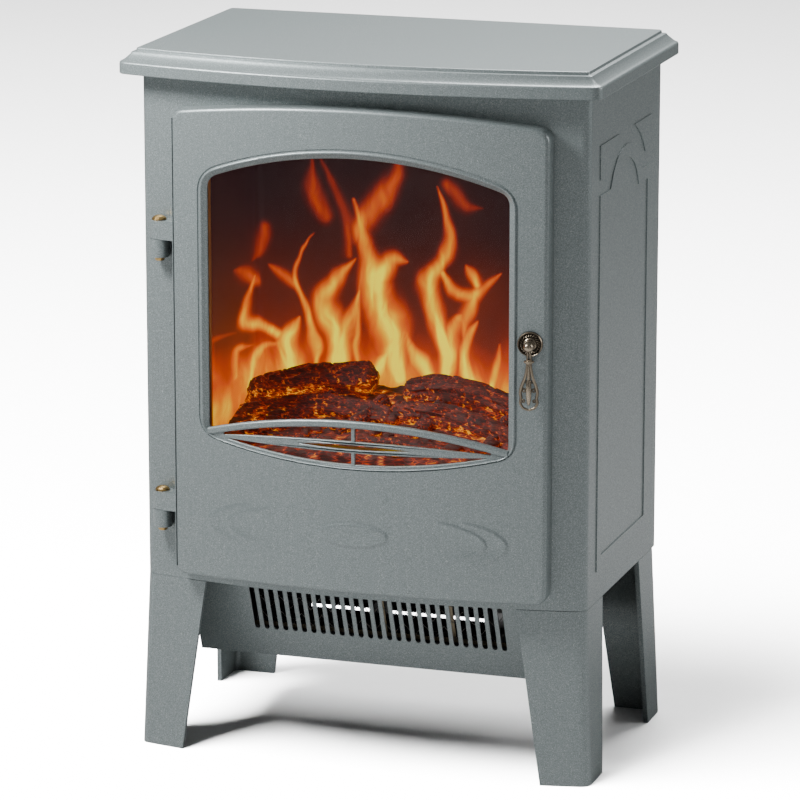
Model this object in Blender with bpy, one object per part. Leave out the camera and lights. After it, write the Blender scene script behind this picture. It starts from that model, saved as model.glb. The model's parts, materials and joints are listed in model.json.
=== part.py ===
"""An electric stove heater: a bow-fronted casing on four splayed legs, with a hinged door over a
flame picture, and a fan heater in a box under the floor. Metres, +Z up, the front towards -Y. The
origin is on the floor, under the middle of the whole object."""

import math

import bmesh
import bpy
from mathutils import Matrix, Vector

# Overall sizes
slab_width = 0.420
slab_depth = 0.278
slab_height = 0.0212
casing_width = 0.392
casing_depth = 0.241
casing_height = 0.4361
leg_height = 0.152
bow_radius = 0.883
corner_radius = 0.009

# Clearances
gap = 0.0003
running_gap = 0.0003

# Top slab
slab_lip = 0.022
slab_corner = 0.010
slab_skin = 0.004
slab_land = 0.010
slab_edge = (
    (0.0000, 0.0000),
    (0.0000, 0.0092),
    (0.0012, 0.0106),
    (0.0050, 0.0126),
    (0.0086, 0.0152),
    (0.0106, 0.0178),
    (0.0132, 0.0184),
    (0.0132, 0.0212),
)

# Sheet metal and mouldings
sheet = 0.0010
thin_sheet = 0.0008
lip_width = 0.014

# Door
door_middle = 0.0035
door_width = 0.328
door_foot = 0.0085
door_head = 0.0156
door_rise = 0.0115
door_corner = 0.011
door_depth = 0.016
door_skin = 0.004
door_rim = 0.003
emboss_height = 0.0011

# Window and grille, with heights above the foot of the door
window_stile = 0.0325
window_head = 0.0417
window_rise = 0.0249
window_corner = 0.012
bar_crown = 0.1495
bar_rise = 0.0175
bar_thickness = 0.0065
eye_inset = 0.0090
eye_foot = 0.1105
eye_rise = 0.0145
brow_inset = 0.0135
middle_bar_top = 0.1315
middle_bar_foot = 0.1215
middle_bar_rise = 0.0045
lens_half = 0.048
lens_half_height = 0.0019
strut_half = 0.0015

# Glass
glass_thickness = 0.003
glass_margin = 0.008
strip_width = 0.012
strip_thickness = 0.002

# Hinges and pins
hinge_reach = 0.0155
hinge_stand = 0.009
knuckle_radius = 0.0081
knuckle_height = 0.0156
lower_hinge_rise = 0.0540
upper_hinge_drop = 0.1230
pin_radius = 0.003
pin_head_radius = 0.0063
pin_head_height = 0.0038
pin_tail_radii = (0.0036, 0.0050)
pin_tail = 0.0030

# Handle
handle_inset = 0.0139
handle_height = 0.2235
rosette_radius = 0.0105
rosette_thickness = 0.0024
stud_radius = 0.0020
ball_radius = 0.0040
ball_stand = 0.0128
drop_stand = 0.0078
drop_length = 0.0552
drop_half_width = 0.0080
drop_thickness = 0.0030

# Door catch
magnet_size = (0.010, 0.0075, 0.036)
catch_size = (0.012, 0.0010, 0.040)

# Firebox
mouth_cover = 0.0255
mouth_foot = 0.1095
mouth_head = 0.0476
firebox_margin = 0.0075
firebox_front = 0.0165
firebox_depth = 0.134
screen_thickness = 0.003
wing_thickness = 0.0015
wing_length = 0.122
log_bed_slope = 0.050
log_bed_front = 0.012
left_log_inset = 0.0675
right_log_inset = 0.0725

# Flame mechanism
rotor_back = 0.030
rotor_height = 0.048
rotor_half = 0.112
spindle_radius = 0.002
flag_size = (0.021, 0.0008, 0.026)
flag_count = 8
rotor_motor_radius = 0.0155
rotor_motor_length = 0.024
board_size = (0.220, 0.030, 0.0016)
led_radius = 0.004
led_height = 0.006
led_count = 6
shelf_depth = 0.080

# Legs, with each sole's size and how far it spreads past the casing
leg_wall = 0.004
leg_top_size = (0.0575, 0.052)
leg_sole_size = (0.041, 0.041)
leg_spread = 0.0058
leg_flange = 0.018
leg_flange_height = 0.004
screw_radius = 0.002
screw_head_radius = 0.0038
screw_head_height = 0.0024
screw_length = 0.009

# Heater box under the floor
box_half = 0.168
box_front = 0.046
box_back = 0.175
box_height = 0.081
vent_lean = 0.032
slot_count = 27
slot_pitch = 0.0086
slot_width = 0.0047
slot_length = 0.0457
slot_drop = 0.0133
floor_slot_count = 11
floor_slot_size = (0.016, 0.052)
fan_back = 0.130
fan_height = 0.112
fan_radius = 0.023
fan_half = 0.105
fan_blades = 12
fan_blade_depth = 0.008
fan_motor_radius = 0.025
fan_motor_length = 0.034
heater_half = 0.128
heater_length = 0.060
heater_depth = 0.014
heater_rib = 0.004
heater_teeth = 26
heater_rows = 3
wire_radius = 0.0006

# Controls on the back
switch_count = 3
switch_pitch = 0.0195
switch_middle = (-0.118, 0.345)
rocker_size = (0.0150, 0.0200)
rocker_tilt = math.radians(8)
knob_place = (-0.046, 0.345)
knob_radius = 0.014
knob_height = 0.0115
shaft_radius = 0.003
gland_place = (0.150, 0.024)
gland_radius = 0.0105
gland_neck = 0.0065
gland_bore = 0.0035

# Side ornament: its foot is above the foot of the casing, the rest hangs below its top
relief = 0.0010
panel_half = 0.080
panel_foot = 0.0263
panel_shoulder_drop = 0.0881
band = 0.012
arch_radius = 0.054
arch_drop = 0.1121
spandrel_foot_drop = 0.0751
spandrel_top_drop = 0.0461
spandrel_gap = 0.0164

# Places worked out from the sizes above, in the object's own frame
front = slab_lip - slab_depth / 2
back = front + casing_depth
casing_foot = leg_height
casing_top = casing_foot + casing_height
slab_foot = casing_top + gap
door_bottom = casing_foot + door_foot
door_half = door_width / 2
door_height = casing_height - door_foot - door_head
window_half = door_half - window_stile
window_crown = door_height - window_head
eye_half = window_half - eye_inset
brow_half = window_half - brow_inset
mouth_half = door_half - mouth_cover
mouth_height = casing_height - mouth_foot - mouth_head
hinge_heights = (door_bottom + lower_hinge_rise, door_bottom + door_height - upper_hinge_drop)
panel_shoulder = casing_height - panel_shoulder_drop
arch_centre = casing_height - arch_drop
spandrel_foot = casing_height - spandrel_foot_drop
spandrel_top = casing_height - spandrel_top_drop
door_front = -(gap + door_depth)
glass_front = door_front + door_skin + gap
hinge_x = door_middle - door_half - hinge_reach
firebox_half = mouth_half + firebox_margin
firebox_foot = casing_foot + mouth_foot - firebox_margin
firebox_top = casing_foot + mouth_foot + mouth_height + firebox_margin
firebox_back = front + firebox_front + firebox_depth
screen_back = firebox_back + gap + screen_thickness
box_lean_angle = math.atan2(vent_lean, box_height)

grey_paint = ((0.44, 0.49, 0.49), 0.42, 0.55)
dark_sheet = ((0.05, 0.05, 0.055), 0.6, 0.3)
plain_steel = ((0.62, 0.62, 0.64), 0.35, 1.0)
old_brass = ((0.16, 0.13, 0.10), 0.38, 1.0)
pin_brass = ((0.60, 0.43, 0.18), 0.30, 1.0)
black_plastic = ((0.02, 0.02, 0.022), 0.45, 0.0)
clear_glass = ((0.80, 0.85, 0.85), 0.05, 0.0)
log_finish = ((0.10, 0.05, 0.03), 0.85, 0.0)
flame_finish = ((0.90, 0.35, 0.08), 0.6, 0.0)
mica = ((0.55, 0.47, 0.33), 0.7, 0.0)
heater_alloy = ((0.45, 0.42, 0.40), 0.4, 1.0)
mirror_foil = ((0.85, 0.85, 0.86), 0.15, 1.0)
white_board = ((0.85, 0.85, 0.80), 0.5, 0.0)


def add_object(name, shape, finish=None, origin=(0, 0, 0)):
    """Links the shape as an object. With no finish it is a cutter or a piece to be joined on."""
    bmesh.ops.recalc_face_normals(shape, faces=shape.faces)
    shape.transform(Matrix.Translation(-Vector(origin)))
    mesh = bpy.data.meshes.new(name)
    shape.to_mesh(mesh)
    shape.free()
    made = bpy.data.objects.new(name, mesh)
    made.location = origin
    bpy.context.scene.collection.objects.link(made)
    if finish:
        give_finish(made, finish)
    else:
        made.hide_render = True
        made.display_type = "WIRE"
    return made


def give_finish(thing, finish):
    colour, roughness, metallic = finish
    material = bpy.data.materials.new(thing.name)
    material.use_nodes = True
    surface = material.node_tree.nodes["Principled BSDF"]
    surface.inputs["Base Color"].default_value = (*colour, 1.0)
    surface.inputs["Roughness"].default_value = roughness
    surface.inputs["Metallic"].default_value = metallic
    material.diffuse_color = (*colour, 1.0)
    thing.data.materials.append(material)


def loft(name, rings, finish=None, origin=(0, 0, 0)):
    """A closed skin through rings of equally many points, with a face over each end."""
    shape = bmesh.new()
    loops = [[shape.verts.new(point) for point in ring] for ring in rings]
    shape.faces.new(loops[0])
    shape.faces.new(loops[-1])
    for lower, upper in zip(loops, loops[1:]):
        for here in range(len(lower)):
            beyond = (here + 1) % len(lower)
            shape.faces.new((lower[here], lower[beyond], upper[beyond], upper[here]))
    return add_object(name, shape, finish, origin)


def prism(name, outline, axis, low, high, finish=None, origin=(0, 0, 0)):
    """A straight solid from an outline in the plane across the axis."""
    if axis == "x":
        rings = [[(depth, a, b) for a, b in outline] for depth in (low, high)]
    elif axis == "y":
        rings = [[(a, depth, b) for a, b in outline] for depth in (low, high)]
    else:
        rings = [[(a, b, depth) for a, b in outline] for depth in (low, high)]
    return loft(name, rings, finish, origin)


def box(name, x_span, y_span, z_span, finish=None, origin=(0, 0, 0)):
    outline = [
        (x_span[0], y_span[0]),
        (x_span[1], y_span[0]),
        (x_span[1], y_span[1]),
        (x_span[0], y_span[1]),
    ]
    return prism(name, outline, "z", z_span[0], z_span[1], finish, origin)


def around(middle, size):
    return (middle - size / 2, middle + size / 2)


def turned(name, profile, centre, direction, finish=None, steps=20, closed=False):
    """A turned solid. The profile's (radius, height) points lie along the direction from the centre."""
    shape = bmesh.new()
    points = [shape.verts.new((radius, 0, height)) for radius, height in profile]
    edges = [shape.edges.new(pair) for pair in zip(points, points[1:])]
    if closed:
        edges.append(shape.edges.new((points[-1], points[0])))
    bmesh.ops.spin(
        shape,
        geom=points + edges,
        cent=(0, 0, 0),
        axis=(0, 0, 1),
        angle=math.tau,
        steps=steps,
        use_merge=True,
    )
    bmesh.ops.remove_doubles(shape, verts=shape.verts, dist=1e-6)
    made = add_object(name, shape, finish)
    made.rotation_euler = Vector(direction).to_track_quat("Z", "Y").to_euler()
    made.location = centre
    return made


def rod(name, centre, direction, radius, low, high, finish=None, steps=16):
    profile = [(0, low), (radius, low), (radius, high), (0, high)]
    return turned(name, profile, centre, direction, finish, steps)


def combine(target, tool, operation):
    change = target.modifiers.new(tool.name, "BOOLEAN")
    change.operation = operation
    change.object = tool


def cut(target, tool):
    combine(target, tool, "DIFFERENCE")


def join(target, tool):
    combine(target, tool, "UNION")


def smooth_round(thing):
    thing.data.shade_smooth()
    thing.data.set_sharp_from_angle(angle=math.radians(35))


def ride_on(axis_empty, things):
    for thing in things:
        thing.parent = axis_empty
        thing.matrix_parent_inverse = Matrix.Translation(-axis_empty.location)


def empty_at(name, place):
    made = bpy.data.objects.new(name, None)
    made.location = place
    bpy.context.scene.collection.objects.link(made)
    return made


def bow(x, behind=0.0):
    """The Y of the bowed front at x, or of a surface that lies a distance behind it."""
    return front + bow_radius - math.sqrt((bow_radius - behind) ** 2 - x**2)


def bow_path(half, ahead, corner, steps=16, corner_steps=4):
    """Plan points from the left flank, round the bowed front, to the right flank."""
    radius = bow_radius + ahead
    centre_y = front + bow_radius
    corner_x = half - corner
    corner_y = centre_y - math.sqrt((radius - corner) ** 2 - corner_x**2)
    turn = math.atan2(centre_y - corner_y, corner_x)
    right = []
    for step in range(corner_steps + 1):
        angle = turn * step / corner_steps
        right.append((corner_x + corner * math.cos(angle), corner_y - corner * math.sin(angle)))
    reach = math.pi / 2 - turn
    middle = []
    for step in range(1, steps):
        angle = reach * (1 - 2 * step / steps)
        middle.append((radius * math.sin(angle), centre_y - radius * math.cos(angle)))
    return [(-x, y) for x, y in right] + list(reversed(middle)) + list(reversed(right))


def arc_drop(rise, half, x):
    """How far a circular arc with this rise over this half width falls at x from its crown."""
    radius = (half**2 + rise**2) / (2 * rise)
    return radius - math.sqrt(radius**2 - x**2)


def blend(start, corner, end, steps=4):
    """Points of a curve from start to end that leans to the corner between them."""
    points = []
    for step in range(steps + 1):
        t = step / steps
        points.append(
            tuple(
                (1 - t) ** 2 * a + 2 * t * (1 - t) * b + t**2 * c
                for a, b, c in zip(start, corner, end)
            )
        )
    return points


def sweep(edge, start, end, steps):
    """Points (x, edge(x)) between two values of x."""
    places = [start + (end - start) * step / steps for step in range(steps + 1)]
    return [(x, edge(x)) for x in places]


def framed(half, low, high, corner, steps=16):
    """An outline about x = 0 between a low and a high edge, with eased corners."""
    inner = half - corner
    outline = sweep(low, -inner, inner, steps)[:-1]
    outline += blend((inner, low(inner)), (half, low(half)), (half, low(half) + corner))
    outline += blend((half, high(half) - corner), (half, high(half)), (inner, high(inner)))
    outline += sweep(high, inner, -inner, steps)[1:-1]
    outline += blend((-inner, high(inner)), (-half, high(half)), (-half, high(half) - corner))
    outline += blend((-half, low(half) + corner), (-half, low(half)), (-inner, low(inner)))[:-1]
    return outline


def shifted(outline, x=0.0, z=0.0):
    return [(a + x, b + z) for a, b in outline]


def door_outline(inset):
    half = door_half - inset

    def low(_):
        return inset

    def high(x):
        return door_height - inset - arc_drop(door_rise, door_half, x)

    return shifted(framed(half, low, high, door_corner - inset), door_middle, door_bottom)


def bowed_plate(name, outline, ahead, behind, finish=None, steps=24):
    """A plate with this (x, z) outline that follows the bowed front between two offsets from it."""
    reach = max(abs(x) for x, _ in outline) + 0.01
    foot = min(z for _, z in outline) - 0.01
    head = max(z for _, z in outline) + 0.01
    outer = sweep(lambda x: bow(x, ahead), -reach, reach, steps)
    inner = sweep(lambda x: bow(x, behind), reach, -reach, steps)
    plate = prism(name, outer + inner, "z", foot, head, finish)
    stamp = prism(name + "_outline", outline, "y", front - 0.06, front + 0.10)
    combine(plate, stamp, "INTERSECT")
    return plate


def make_slab():
    rings = []
    for inset, height in slab_edge:
        half = slab_width / 2 - inset
        corner = max(slab_corner - inset, 0.002)
        path = bow_path(half, slab_lip - inset, corner)
        rear = slab_depth / 2 - inset
        right = blend((half, rear - corner), (half, rear), (half - corner, rear))
        left = [(-x, y) for x, y in reversed(right)]
        rings.append([(x, y, slab_foot + height) for x, y in path + right + left])
    slab = loft("top_slab", rings, grey_paint)
    inset = (slab_width - casing_width) / 2 + slab_land
    half = slab_width / 2 - inset
    hollow = bow_path(half, slab_lip - inset, 0.006)
    hollow += [(half, slab_depth / 2 - inset), (-half, slab_depth / 2 - inset)]
    cut(slab, prism("slab_hollow", hollow, "z", slab_foot - 0.01, slab_foot + slab_height - slab_skin))
    return slab


def side_ornament(side):
    """The raised band with its arch, and the two spandrels over it, on one side of the casing."""
    middle = (bow(casing_width / 2) + back) / 2
    low = side * (casing_width / 2 - sheet / 2)
    high = side * (casing_width / 2 + relief)
    outer = panel_edge(panel_half, panel_foot, panel_shoulder, arch_radius)
    inner = panel_edge(panel_half - band, panel_foot + band, panel_shoulder - band, arch_radius - band)
    label = "right" if side > 0 else "left"
    ring = prism("panel_band_" + label, shifted(outer, middle, casing_foot), "x", low, high)
    cut(
        ring, prism("panel_field_" + label, shifted(inner, middle, casing_foot), "x", low * 0.9, high * 1.1)
    )
    pieces = [ring]
    for end in (-1, 1):
        outline = [(end * y + middle, z + casing_foot) for y, z in spandrel_edge()]
        pieces.append(prism(f"spandrel_{label}_{end + 1}", outline, "x", low, high))
    return pieces


def panel_edge(half, foot, shoulder, radius):
    reach = math.acos((shoulder - arch_centre) / radius)
    outline = [(-half, foot), (half, foot), (half, shoulder)]
    for step in range(9):
        angle = reach * (1 - step / 4)
        outline.append((radius * math.sin(angle), arch_centre + radius * math.cos(angle)))
    outline.append((-half, shoulder))
    return outline


def spandrel_edge():
    radius = arch_radius + spandrel_gap
    outline = [(-panel_half, spandrel_foot)]
    start = math.acos((spandrel_foot - arch_centre) / radius)
    end = math.acos((spandrel_top - arch_centre) / radius)
    for step in range(5):
        angle = start + (end - start) * step / 4
        outline.append((-radius * math.sin(angle), arch_centre + radius * math.cos(angle)))
    outline.append((-panel_half, spandrel_top))
    return outline


def casing_plan():
    """The wrapped sheet: both flanks, the bowed front, and a lip turned in at each rear edge."""
    half = casing_width / 2
    inner = half - sheet
    tip = inner - lip_width
    lip_back = back - sheet - gap
    lip_front = lip_back - sheet
    outline = [(-half, back)] + bow_path(half, 0, corner_radius) + [(half, back)]
    outline += [(inner, back), (inner, lip_back), (tip, lip_back), (tip, lip_front), (inner, lip_front)]
    outline += reversed(bow_path(inner, -sheet, corner_radius - sheet))
    outline += [
        (-inner, lip_front), (-tip, lip_front), (-tip, lip_back), (-inner, lip_back), (-inner, back)
    ]
    return outline


def hinge_axis():
    return (hinge_x, bow(hinge_x) - hinge_stand)


def half_round(toward, radius, steps=12):
    """Plan points half way round the hinge pin, on the far side of it from a direction."""
    axis_x, axis_y = hinge_axis()
    angles = [toward + math.pi / 2 + math.pi * step / steps for step in range(steps + 1)]
    return [(axis_x + radius * math.cos(angle), axis_y + radius * math.sin(angle)) for angle in angles]


def casing_knuckle_plan():
    """A round knuckle with a web that runs back into the casing's front."""
    axis_x, axis_y = hinge_axis()
    web = 0.7 * knuckle_radius
    root_y = axis_y + hinge_stand + sheet / 2
    return half_round(math.pi / 2, knuckle_radius) + [(axis_x + web, root_y), (axis_x - web, root_y)]


def door_knuckle_plan():
    """A knuckle whose front runs on, flush, into the door's face."""
    root_x = door_middle - door_half + door_rim / 2
    outline = half_round(0.0, knuckle_radius - gap)
    return outline + [(root_x, bow(root_x, door_front)), (root_x, bow(root_x, -2 * gap))]


def make_casing():
    casing = prism("casing", casing_plan(), "z", casing_foot, casing_top, grey_paint)
    mouth_low = casing_foot + mouth_foot
    mouth = framed(mouth_half, lambda _: 0, lambda _: mouth_height, 0.010, steps=2)
    mouth = shifted(mouth, door_middle, mouth_low)
    cut(casing, prism("casing_mouth", mouth, "y", front - 0.02, front + 0.05))
    for side in (-1, 1):
        for piece in side_ornament(side):
            join(casing, piece)
    for number, height in enumerate(hinge_heights):
        low = height - gap / 2 - knuckle_height
        plan = casing_knuckle_plan()
        join(casing, prism(f"casing_knuckle_{number}", plan, "z", low, height - gap / 2))
    for number, (x, z) in enumerate(rear_screw_places()):
        cut(casing, rod(f"lip_hole_{number}", (x, back, z), (0, 1, 0), screw_radius + gap, -0.02, 0.01))
    cut(casing, pin_bore("casing_pin_bore"))
    return casing


def pin_bore(name):
    axis_x, axis_y = hinge_axis()
    low = casing_foot
    return rod(name, (axis_x, axis_y, low), (0, 0, 1), pin_radius + running_gap, 0, casing_height)


def band_between(upper, lower, start, end, steps=10):
    return sweep(upper, start, end, steps) + sweep(lower, end, start, steps)


def grille_openings():
    """Outlines of the gaps between the grille's bars, and of the window over them."""

    def window_top(x):
        return window_crown - arc_drop(window_rise, window_half, x)

    def bar_top(x):
        return bar_crown - arc_drop(bar_rise, window_half, x)

    def bar_under(x):
        return bar_crown - bar_thickness - arc_drop(eye_rise, eye_half, x)

    def middle_top(x):
        return middle_bar_top - arc_drop(middle_bar_rise, eye_half, x)

    def middle_under(x):
        return middle_bar_foot + arc_drop(middle_bar_rise * 0.7, eye_half, x)

    def eye_low(x):
        return eye_foot + arc_drop(eye_rise, eye_half, x)

    lens_height = (middle_bar_top + middle_bar_foot) / 2

    def lens_top(x):
        return lens_height + lens_half_height * (1 - (x / lens_half) ** 2)

    def lens_under(x):
        return lens_height - lens_half_height * (1 - (x / lens_half) ** 2)

    outlines = [framed(window_half, bar_top, window_top, window_corner)]
    for side in (-1, 1):
        outlines.append(band_between(bar_under, middle_top, side * strut_half, side * brow_half))
        outlines.append(band_between(middle_under, eye_low, side * strut_half, side * brow_half * 0.985))
    outlines.append(
        sweep(lens_top, -lens_half, lens_half, 10) + sweep(lens_under, lens_half, -lens_half, 10)[1:-1]
    )
    return [shifted(outline, door_middle, door_bottom) for outline in outlines]


def crescent(side, far, near, top, foot, bulge_out, bulge_in):
    """A raised sickle on the door, between two curves that meet at both tips."""
    start = (side * near, top)
    end = (side * near, foot)
    outer = blend(start, (side * (2 * far - near + bulge_out), (top + foot) / 2), end, 10)
    inner = blend(end, (side * (2 * far - near - bulge_in), (top + foot) / 2), start, 10)
    return outer + inner[1:-1]


def door_relief():
    """Outlines of the oval and the sickles that stand out under the grille."""
    oval = [
        (0.032 * math.cos(math.tau * step / 24), 0.0511 + 0.0112 * math.sin(math.tau * step / 24))
        for step in range(24)
    ]
    outlines = [oval]
    for side in (-1, 1):
        outlines.append(crescent(side, 0.1323, 0.094, 0.0700, 0.0300, 0.002, 0.011))
        outlines.append(crescent(side, 0.1146, 0.074, 0.0690, 0.0310, 0.000, 0.008))
    return [shifted(outline, door_middle, door_bottom) for outline in outlines]


def handle_frame():
    """The handle's place on the door's face, and the way the face points there."""
    x = door_middle + door_half - handle_inset
    y = bow(x, door_front)
    outward = Vector((x, y - front - bow_radius, 0)).normalized()
    return Vector((x, y, door_bottom + handle_height)), outward


def make_door():
    door = bowed_plate("door", door_outline(0.0), door_front, -gap, grey_paint)
    cut(door, bowed_plate("door_hollow", door_outline(door_rim), door_front + door_skin, 0.004))
    for number, outline in enumerate(grille_openings()):
        cut(door, prism(f"door_opening_{number}", outline, "y", front - 0.03, front + 0.05))
    for number, outline in enumerate(door_relief()):
        relief_top = door_front - emboss_height
        join(door, bowed_plate(f"door_relief_{number}", outline, relief_top, door_front + 0.002))
    for number, height in enumerate(hinge_heights):
        low = height + gap / 2
        plan = door_knuckle_plan()
        join(door, prism(f"door_knuckle_{number}", plan, "z", low, low + knuckle_height))
    cut(door, pin_bore("door_pin_bore"))
    place, outward = handle_frame()
    cut(door, rod("door_handle_hole", place, outward, stud_radius + gap, -0.01, 0.01))
    return door


def make_glass():
    half = window_half + glass_margin
    low = door_bottom + eye_foot - glass_margin
    high = door_bottom + window_crown + glass_margin
    outline = shifted([(-half, low), (half, low), (half, high), (-half, high)], door_middle)
    back_face = glass_front + glass_thickness
    made = [bowed_plate("door_glass", outline, glass_front, back_face, clear_glass)]
    for side, label in ((-1, "left"), (1, "right")):
        inner_x = door_middle + side * (half - strip_width / 2)
        edge_x = door_middle + side * (half + gap)
        outer_x = door_middle + side * (half + gap + strip_thickness)
        rear = back_face + gap + strip_thickness
        plan = [
            (inner_x, bow(inner_x, back_face + gap)),
            (edge_x, bow(edge_x, back_face + gap)),
            (edge_x, bow(edge_x, glass_front)),
            (outer_x, bow(outer_x, glass_front)),
            (outer_x, bow(outer_x, rear)),
            (inner_x, bow(inner_x, rear)),
        ]
        made.append(prism("glass_strip_" + label, plan, "z", low, high, dark_sheet))
    return made


def make_hinge_pins():
    axis_x, axis_y = hinge_axis()
    for height, label in zip(hinge_heights, ("lower", "upper")):
        seat = height + gap * 1.5 + knuckle_height
        rivet = height - knuckle_height - 1.5 * gap - seat
        tail = rivet - pin_tail
        profile = [
            (0, tail),
            (pin_tail_radii[0], tail),
            (pin_tail_radii[1], rivet),
            (pin_radius, rivet),
            (pin_radius, 0),
        ]
        for step in range(5):
            angle = math.pi / 2 * step / 4
            profile.append((pin_head_radius * math.cos(angle), pin_head_height * math.sin(angle)))
        profile[-1] = (0, pin_head_height)
        pin = turned("hinge_pin_" + label, profile, (axis_x, axis_y, seat), (0, 0, 1), pin_brass)
        smooth_round(pin)


def make_handle():
    """A rosette and a ball-headed stud, and the drop that hangs on the stud by its eye."""
    place, outward = handle_frame()
    bore = stud_radius + gap
    rosette = turned(
        "handle_rosette",
        [
            (bore, gap),
            (rosette_radius, gap),
            (rosette_radius, 0.0008),
            (0.0090, 0.0012),
            (0.0070, rosette_thickness),
            (bore, rosette_thickness),
        ],
        place,
        outward,
        old_brass,
        closed=True,
    )
    stud_profile = [(0, -0.0092), (stud_radius, -0.0092), (stud_radius, ball_stand - 0.0035)]
    for step in range(1, 7):
        angle = -math.pi / 3 + math.pi * 5 / 6 * step / 6
        stud_profile.append((ball_radius * math.cos(angle), ball_stand + ball_radius * math.sin(angle)))
    stud_profile[-1] = (0, ball_stand + ball_radius)
    stud = turned("handle_stud", stud_profile, place, outward, old_brass)
    nut_low = -(door_skin + gap)
    nut = turned(
        "handle_nut",
        [(bore, nut_low), (0.004, nut_low), (0.004, nut_low - 0.003), (bore, nut_low - 0.003)],
        place,
        outward,
        plain_steel,
        steps=6,
        closed=True,
    )
    drop = make_drop(place, outward)
    for piece in (rosette, stud):
        smooth_round(piece)
    return rosette, stud, nut, drop


def make_drop(place, outward):
    """The drop, modelled upright about its eye and then turned to face the way the door does."""
    half = drop_thickness / 2
    outline = [(-0.0026, -0.003), (-0.0013, -0.0105), (-0.0021, -0.0180), (-0.0026, -0.0260)]
    outline += [(-0.0055, -0.0320), (-drop_half_width, -0.0395), (-0.0066, -0.0475)]
    outline += [(-0.0032, -0.0530), (0, -drop_length)]
    outline += [(-x, z) for x, z in reversed(outline[:-1])]
    drop = prism("handle_drop", outline, "y", -half, half, old_brass)
    eye = rod("drop_eye", (0, 0, 0), (0, -1, 0), 0.0048, -half, half, steps=16)
    join(drop, eye)
    join(drop, rod("drop_collar", (0, 0, -0.0130), (0, 0, 1), 0.0034, -0.0011, 0.0011, steps=16))
    for side in (-1, 1):
        pierced = [(side * x, z) for x, z in ((0.0022, -0.034), (0.0058, -0.0395), (0.0024, -0.0475))]
        cut(drop, prism(f"drop_pierced_{side + 1}", pierced, "y", -0.01, 0.01))
    cut(drop, rod("drop_bore", (0, 0, 0), (0, -1, 0), stud_radius + running_gap, -0.01, 0.01))
    centre = place + outward * drop_stand
    turn = math.atan2(outward.x, -outward.y)
    for piece in [drop] + [change.object for change in drop.modifiers]:
        piece.matrix_world = Matrix.Translation(centre) @ Matrix.Rotation(turn, 4, "Z") @ piece.matrix_basis
    return drop


def make_catch():
    """A magnet inside the door's rim and the plate on the casing that it holds."""
    place, _ = handle_frame()
    x = door_middle + door_half - door_rim - 0.004 - magnet_size[0] / 2
    z = place.z + 0.045
    face = bow(x + magnet_size[0] / 2, door_front + door_skin + gap)
    magnet = box(
        "door_magnet",
        around(x, magnet_size[0]),
        (face, face + magnet_size[1]),
        around(z, magnet_size[2]),
        dark_sheet,
    )
    half = catch_size[0] / 2
    outline = [(x - half, z - 0.02), (x + half, z - 0.02), (x + half, z + 0.02), (x - half, z + 0.02)]
    bowed_plate("catch_plate", outline, -(gap + catch_size[1]), -gap, plain_steel)
    return magnet


def leg_plan(rear, half, ahead, x_size, y_size):
    """An L of leg walls in plan, on the right: its outer line, and back along its inner line."""
    inner_x = half - x_size
    outline = []
    for shrink, backwards in ((0.0, False), (leg_wall, True)):
        corner = corner_radius - shrink
        if rear:
            face = back + ahead - shrink
            edge = half - shrink
            line = sweep(lambda _: face, inner_x, edge - corner, 4)[:-1]
            line += blend((edge - corner, face), (edge, face), (edge, face - corner))
            line.append((half - shrink, back + ahead - y_size))
        else:
            line = [
                (x, y)
                for x, y in bow_path(half - shrink, ahead - shrink, corner)
                if x > half - corner - shrink - 1e-6
            ]
            reach = line[0][0] - inner_x
            arc = []
            for step in range(4):
                x = inner_x + reach * step / 4
                arc.append((x, bow(x, shrink - ahead)))
            line = arc + line
            line.append((half - shrink, bow(half - shrink) - ahead + y_size))
        outline += reversed(line) if backwards else line
    return outline


def make_leg(side, rear):
    """One leg: two tapering walls that spread towards the floor, with a flange to screw up."""
    label = ("rear" if rear else "front") + ("_right" if side > 0 else "_left")
    half = casing_width / 2
    top = leg_plan(rear, half, 0.0, *leg_top_size)
    sole = leg_plan(rear, half + leg_spread, leg_spread, *leg_sole_size)
    rings = [[(side * x, y, 0.0) for x, y in sole]]
    rings.append([(side * x, y, casing_foot - gap) for x, y in top])
    leg = loft("leg_" + label, rings, grey_paint)
    flange_top = casing_foot - gap
    span = leg_flange_span(rear)
    inner = side * (half - leg_wall / 2)
    tip = inner - side * leg_flange
    flange = box(
        "flange_" + label, sorted((inner, tip)), span, (flange_top - leg_flange_height, flange_top)
    )
    join(leg, flange)
    for number, y in enumerate(leg_screw_rows(rear)):
        x = side * leg_screw_x()
        hole = rod(
            f"leg_hole_{label}_{number}", (x, y, flange_top), (0, 0, 1), screw_radius + gap, -0.01, 0.01
        )
        cut(leg, hole)
        make_screw(f"leg_screw_{label}_{number}", (x, y, flange_top - leg_flange_height - gap), (0, 0, -1))


def leg_flange_span(rear):
    length = leg_top_size[1] - 2 * corner_radius
    if rear:
        return (back - corner_radius - length, back - corner_radius)
    start = bow(casing_width / 2) + corner_radius
    return (start, start + length)


def leg_screw_rows(rear):
    low, high = leg_flange_span(rear)
    return (low + 0.007, high - 0.007)


def leg_screw_x():
    return casing_width / 2 - leg_wall / 2 - leg_flange * 0.6


def make_screw(name, seat, outward):
    """A pan-head screw whose head stands out from its seat."""
    profile = [(0, -screw_length), (screw_radius, -screw_length + 0.001), (screw_radius, 0)]
    profile += [(screw_head_radius, 0), (screw_head_radius, screw_head_height * 0.5)]
    profile += [(screw_head_radius * 0.6, screw_head_height), (0, screw_head_height)]
    screw = turned(name, profile, seat, outward, plain_steel, steps=12)
    smooth_round(screw)


def rear_screw_places():
    x = casing_width / 2 - sheet - lip_width / 2
    rows = (0.020, casing_height / 2, casing_height - 0.020)
    return [(side * x, casing_foot + row) for side in (-1, 1) for row in rows]


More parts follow.
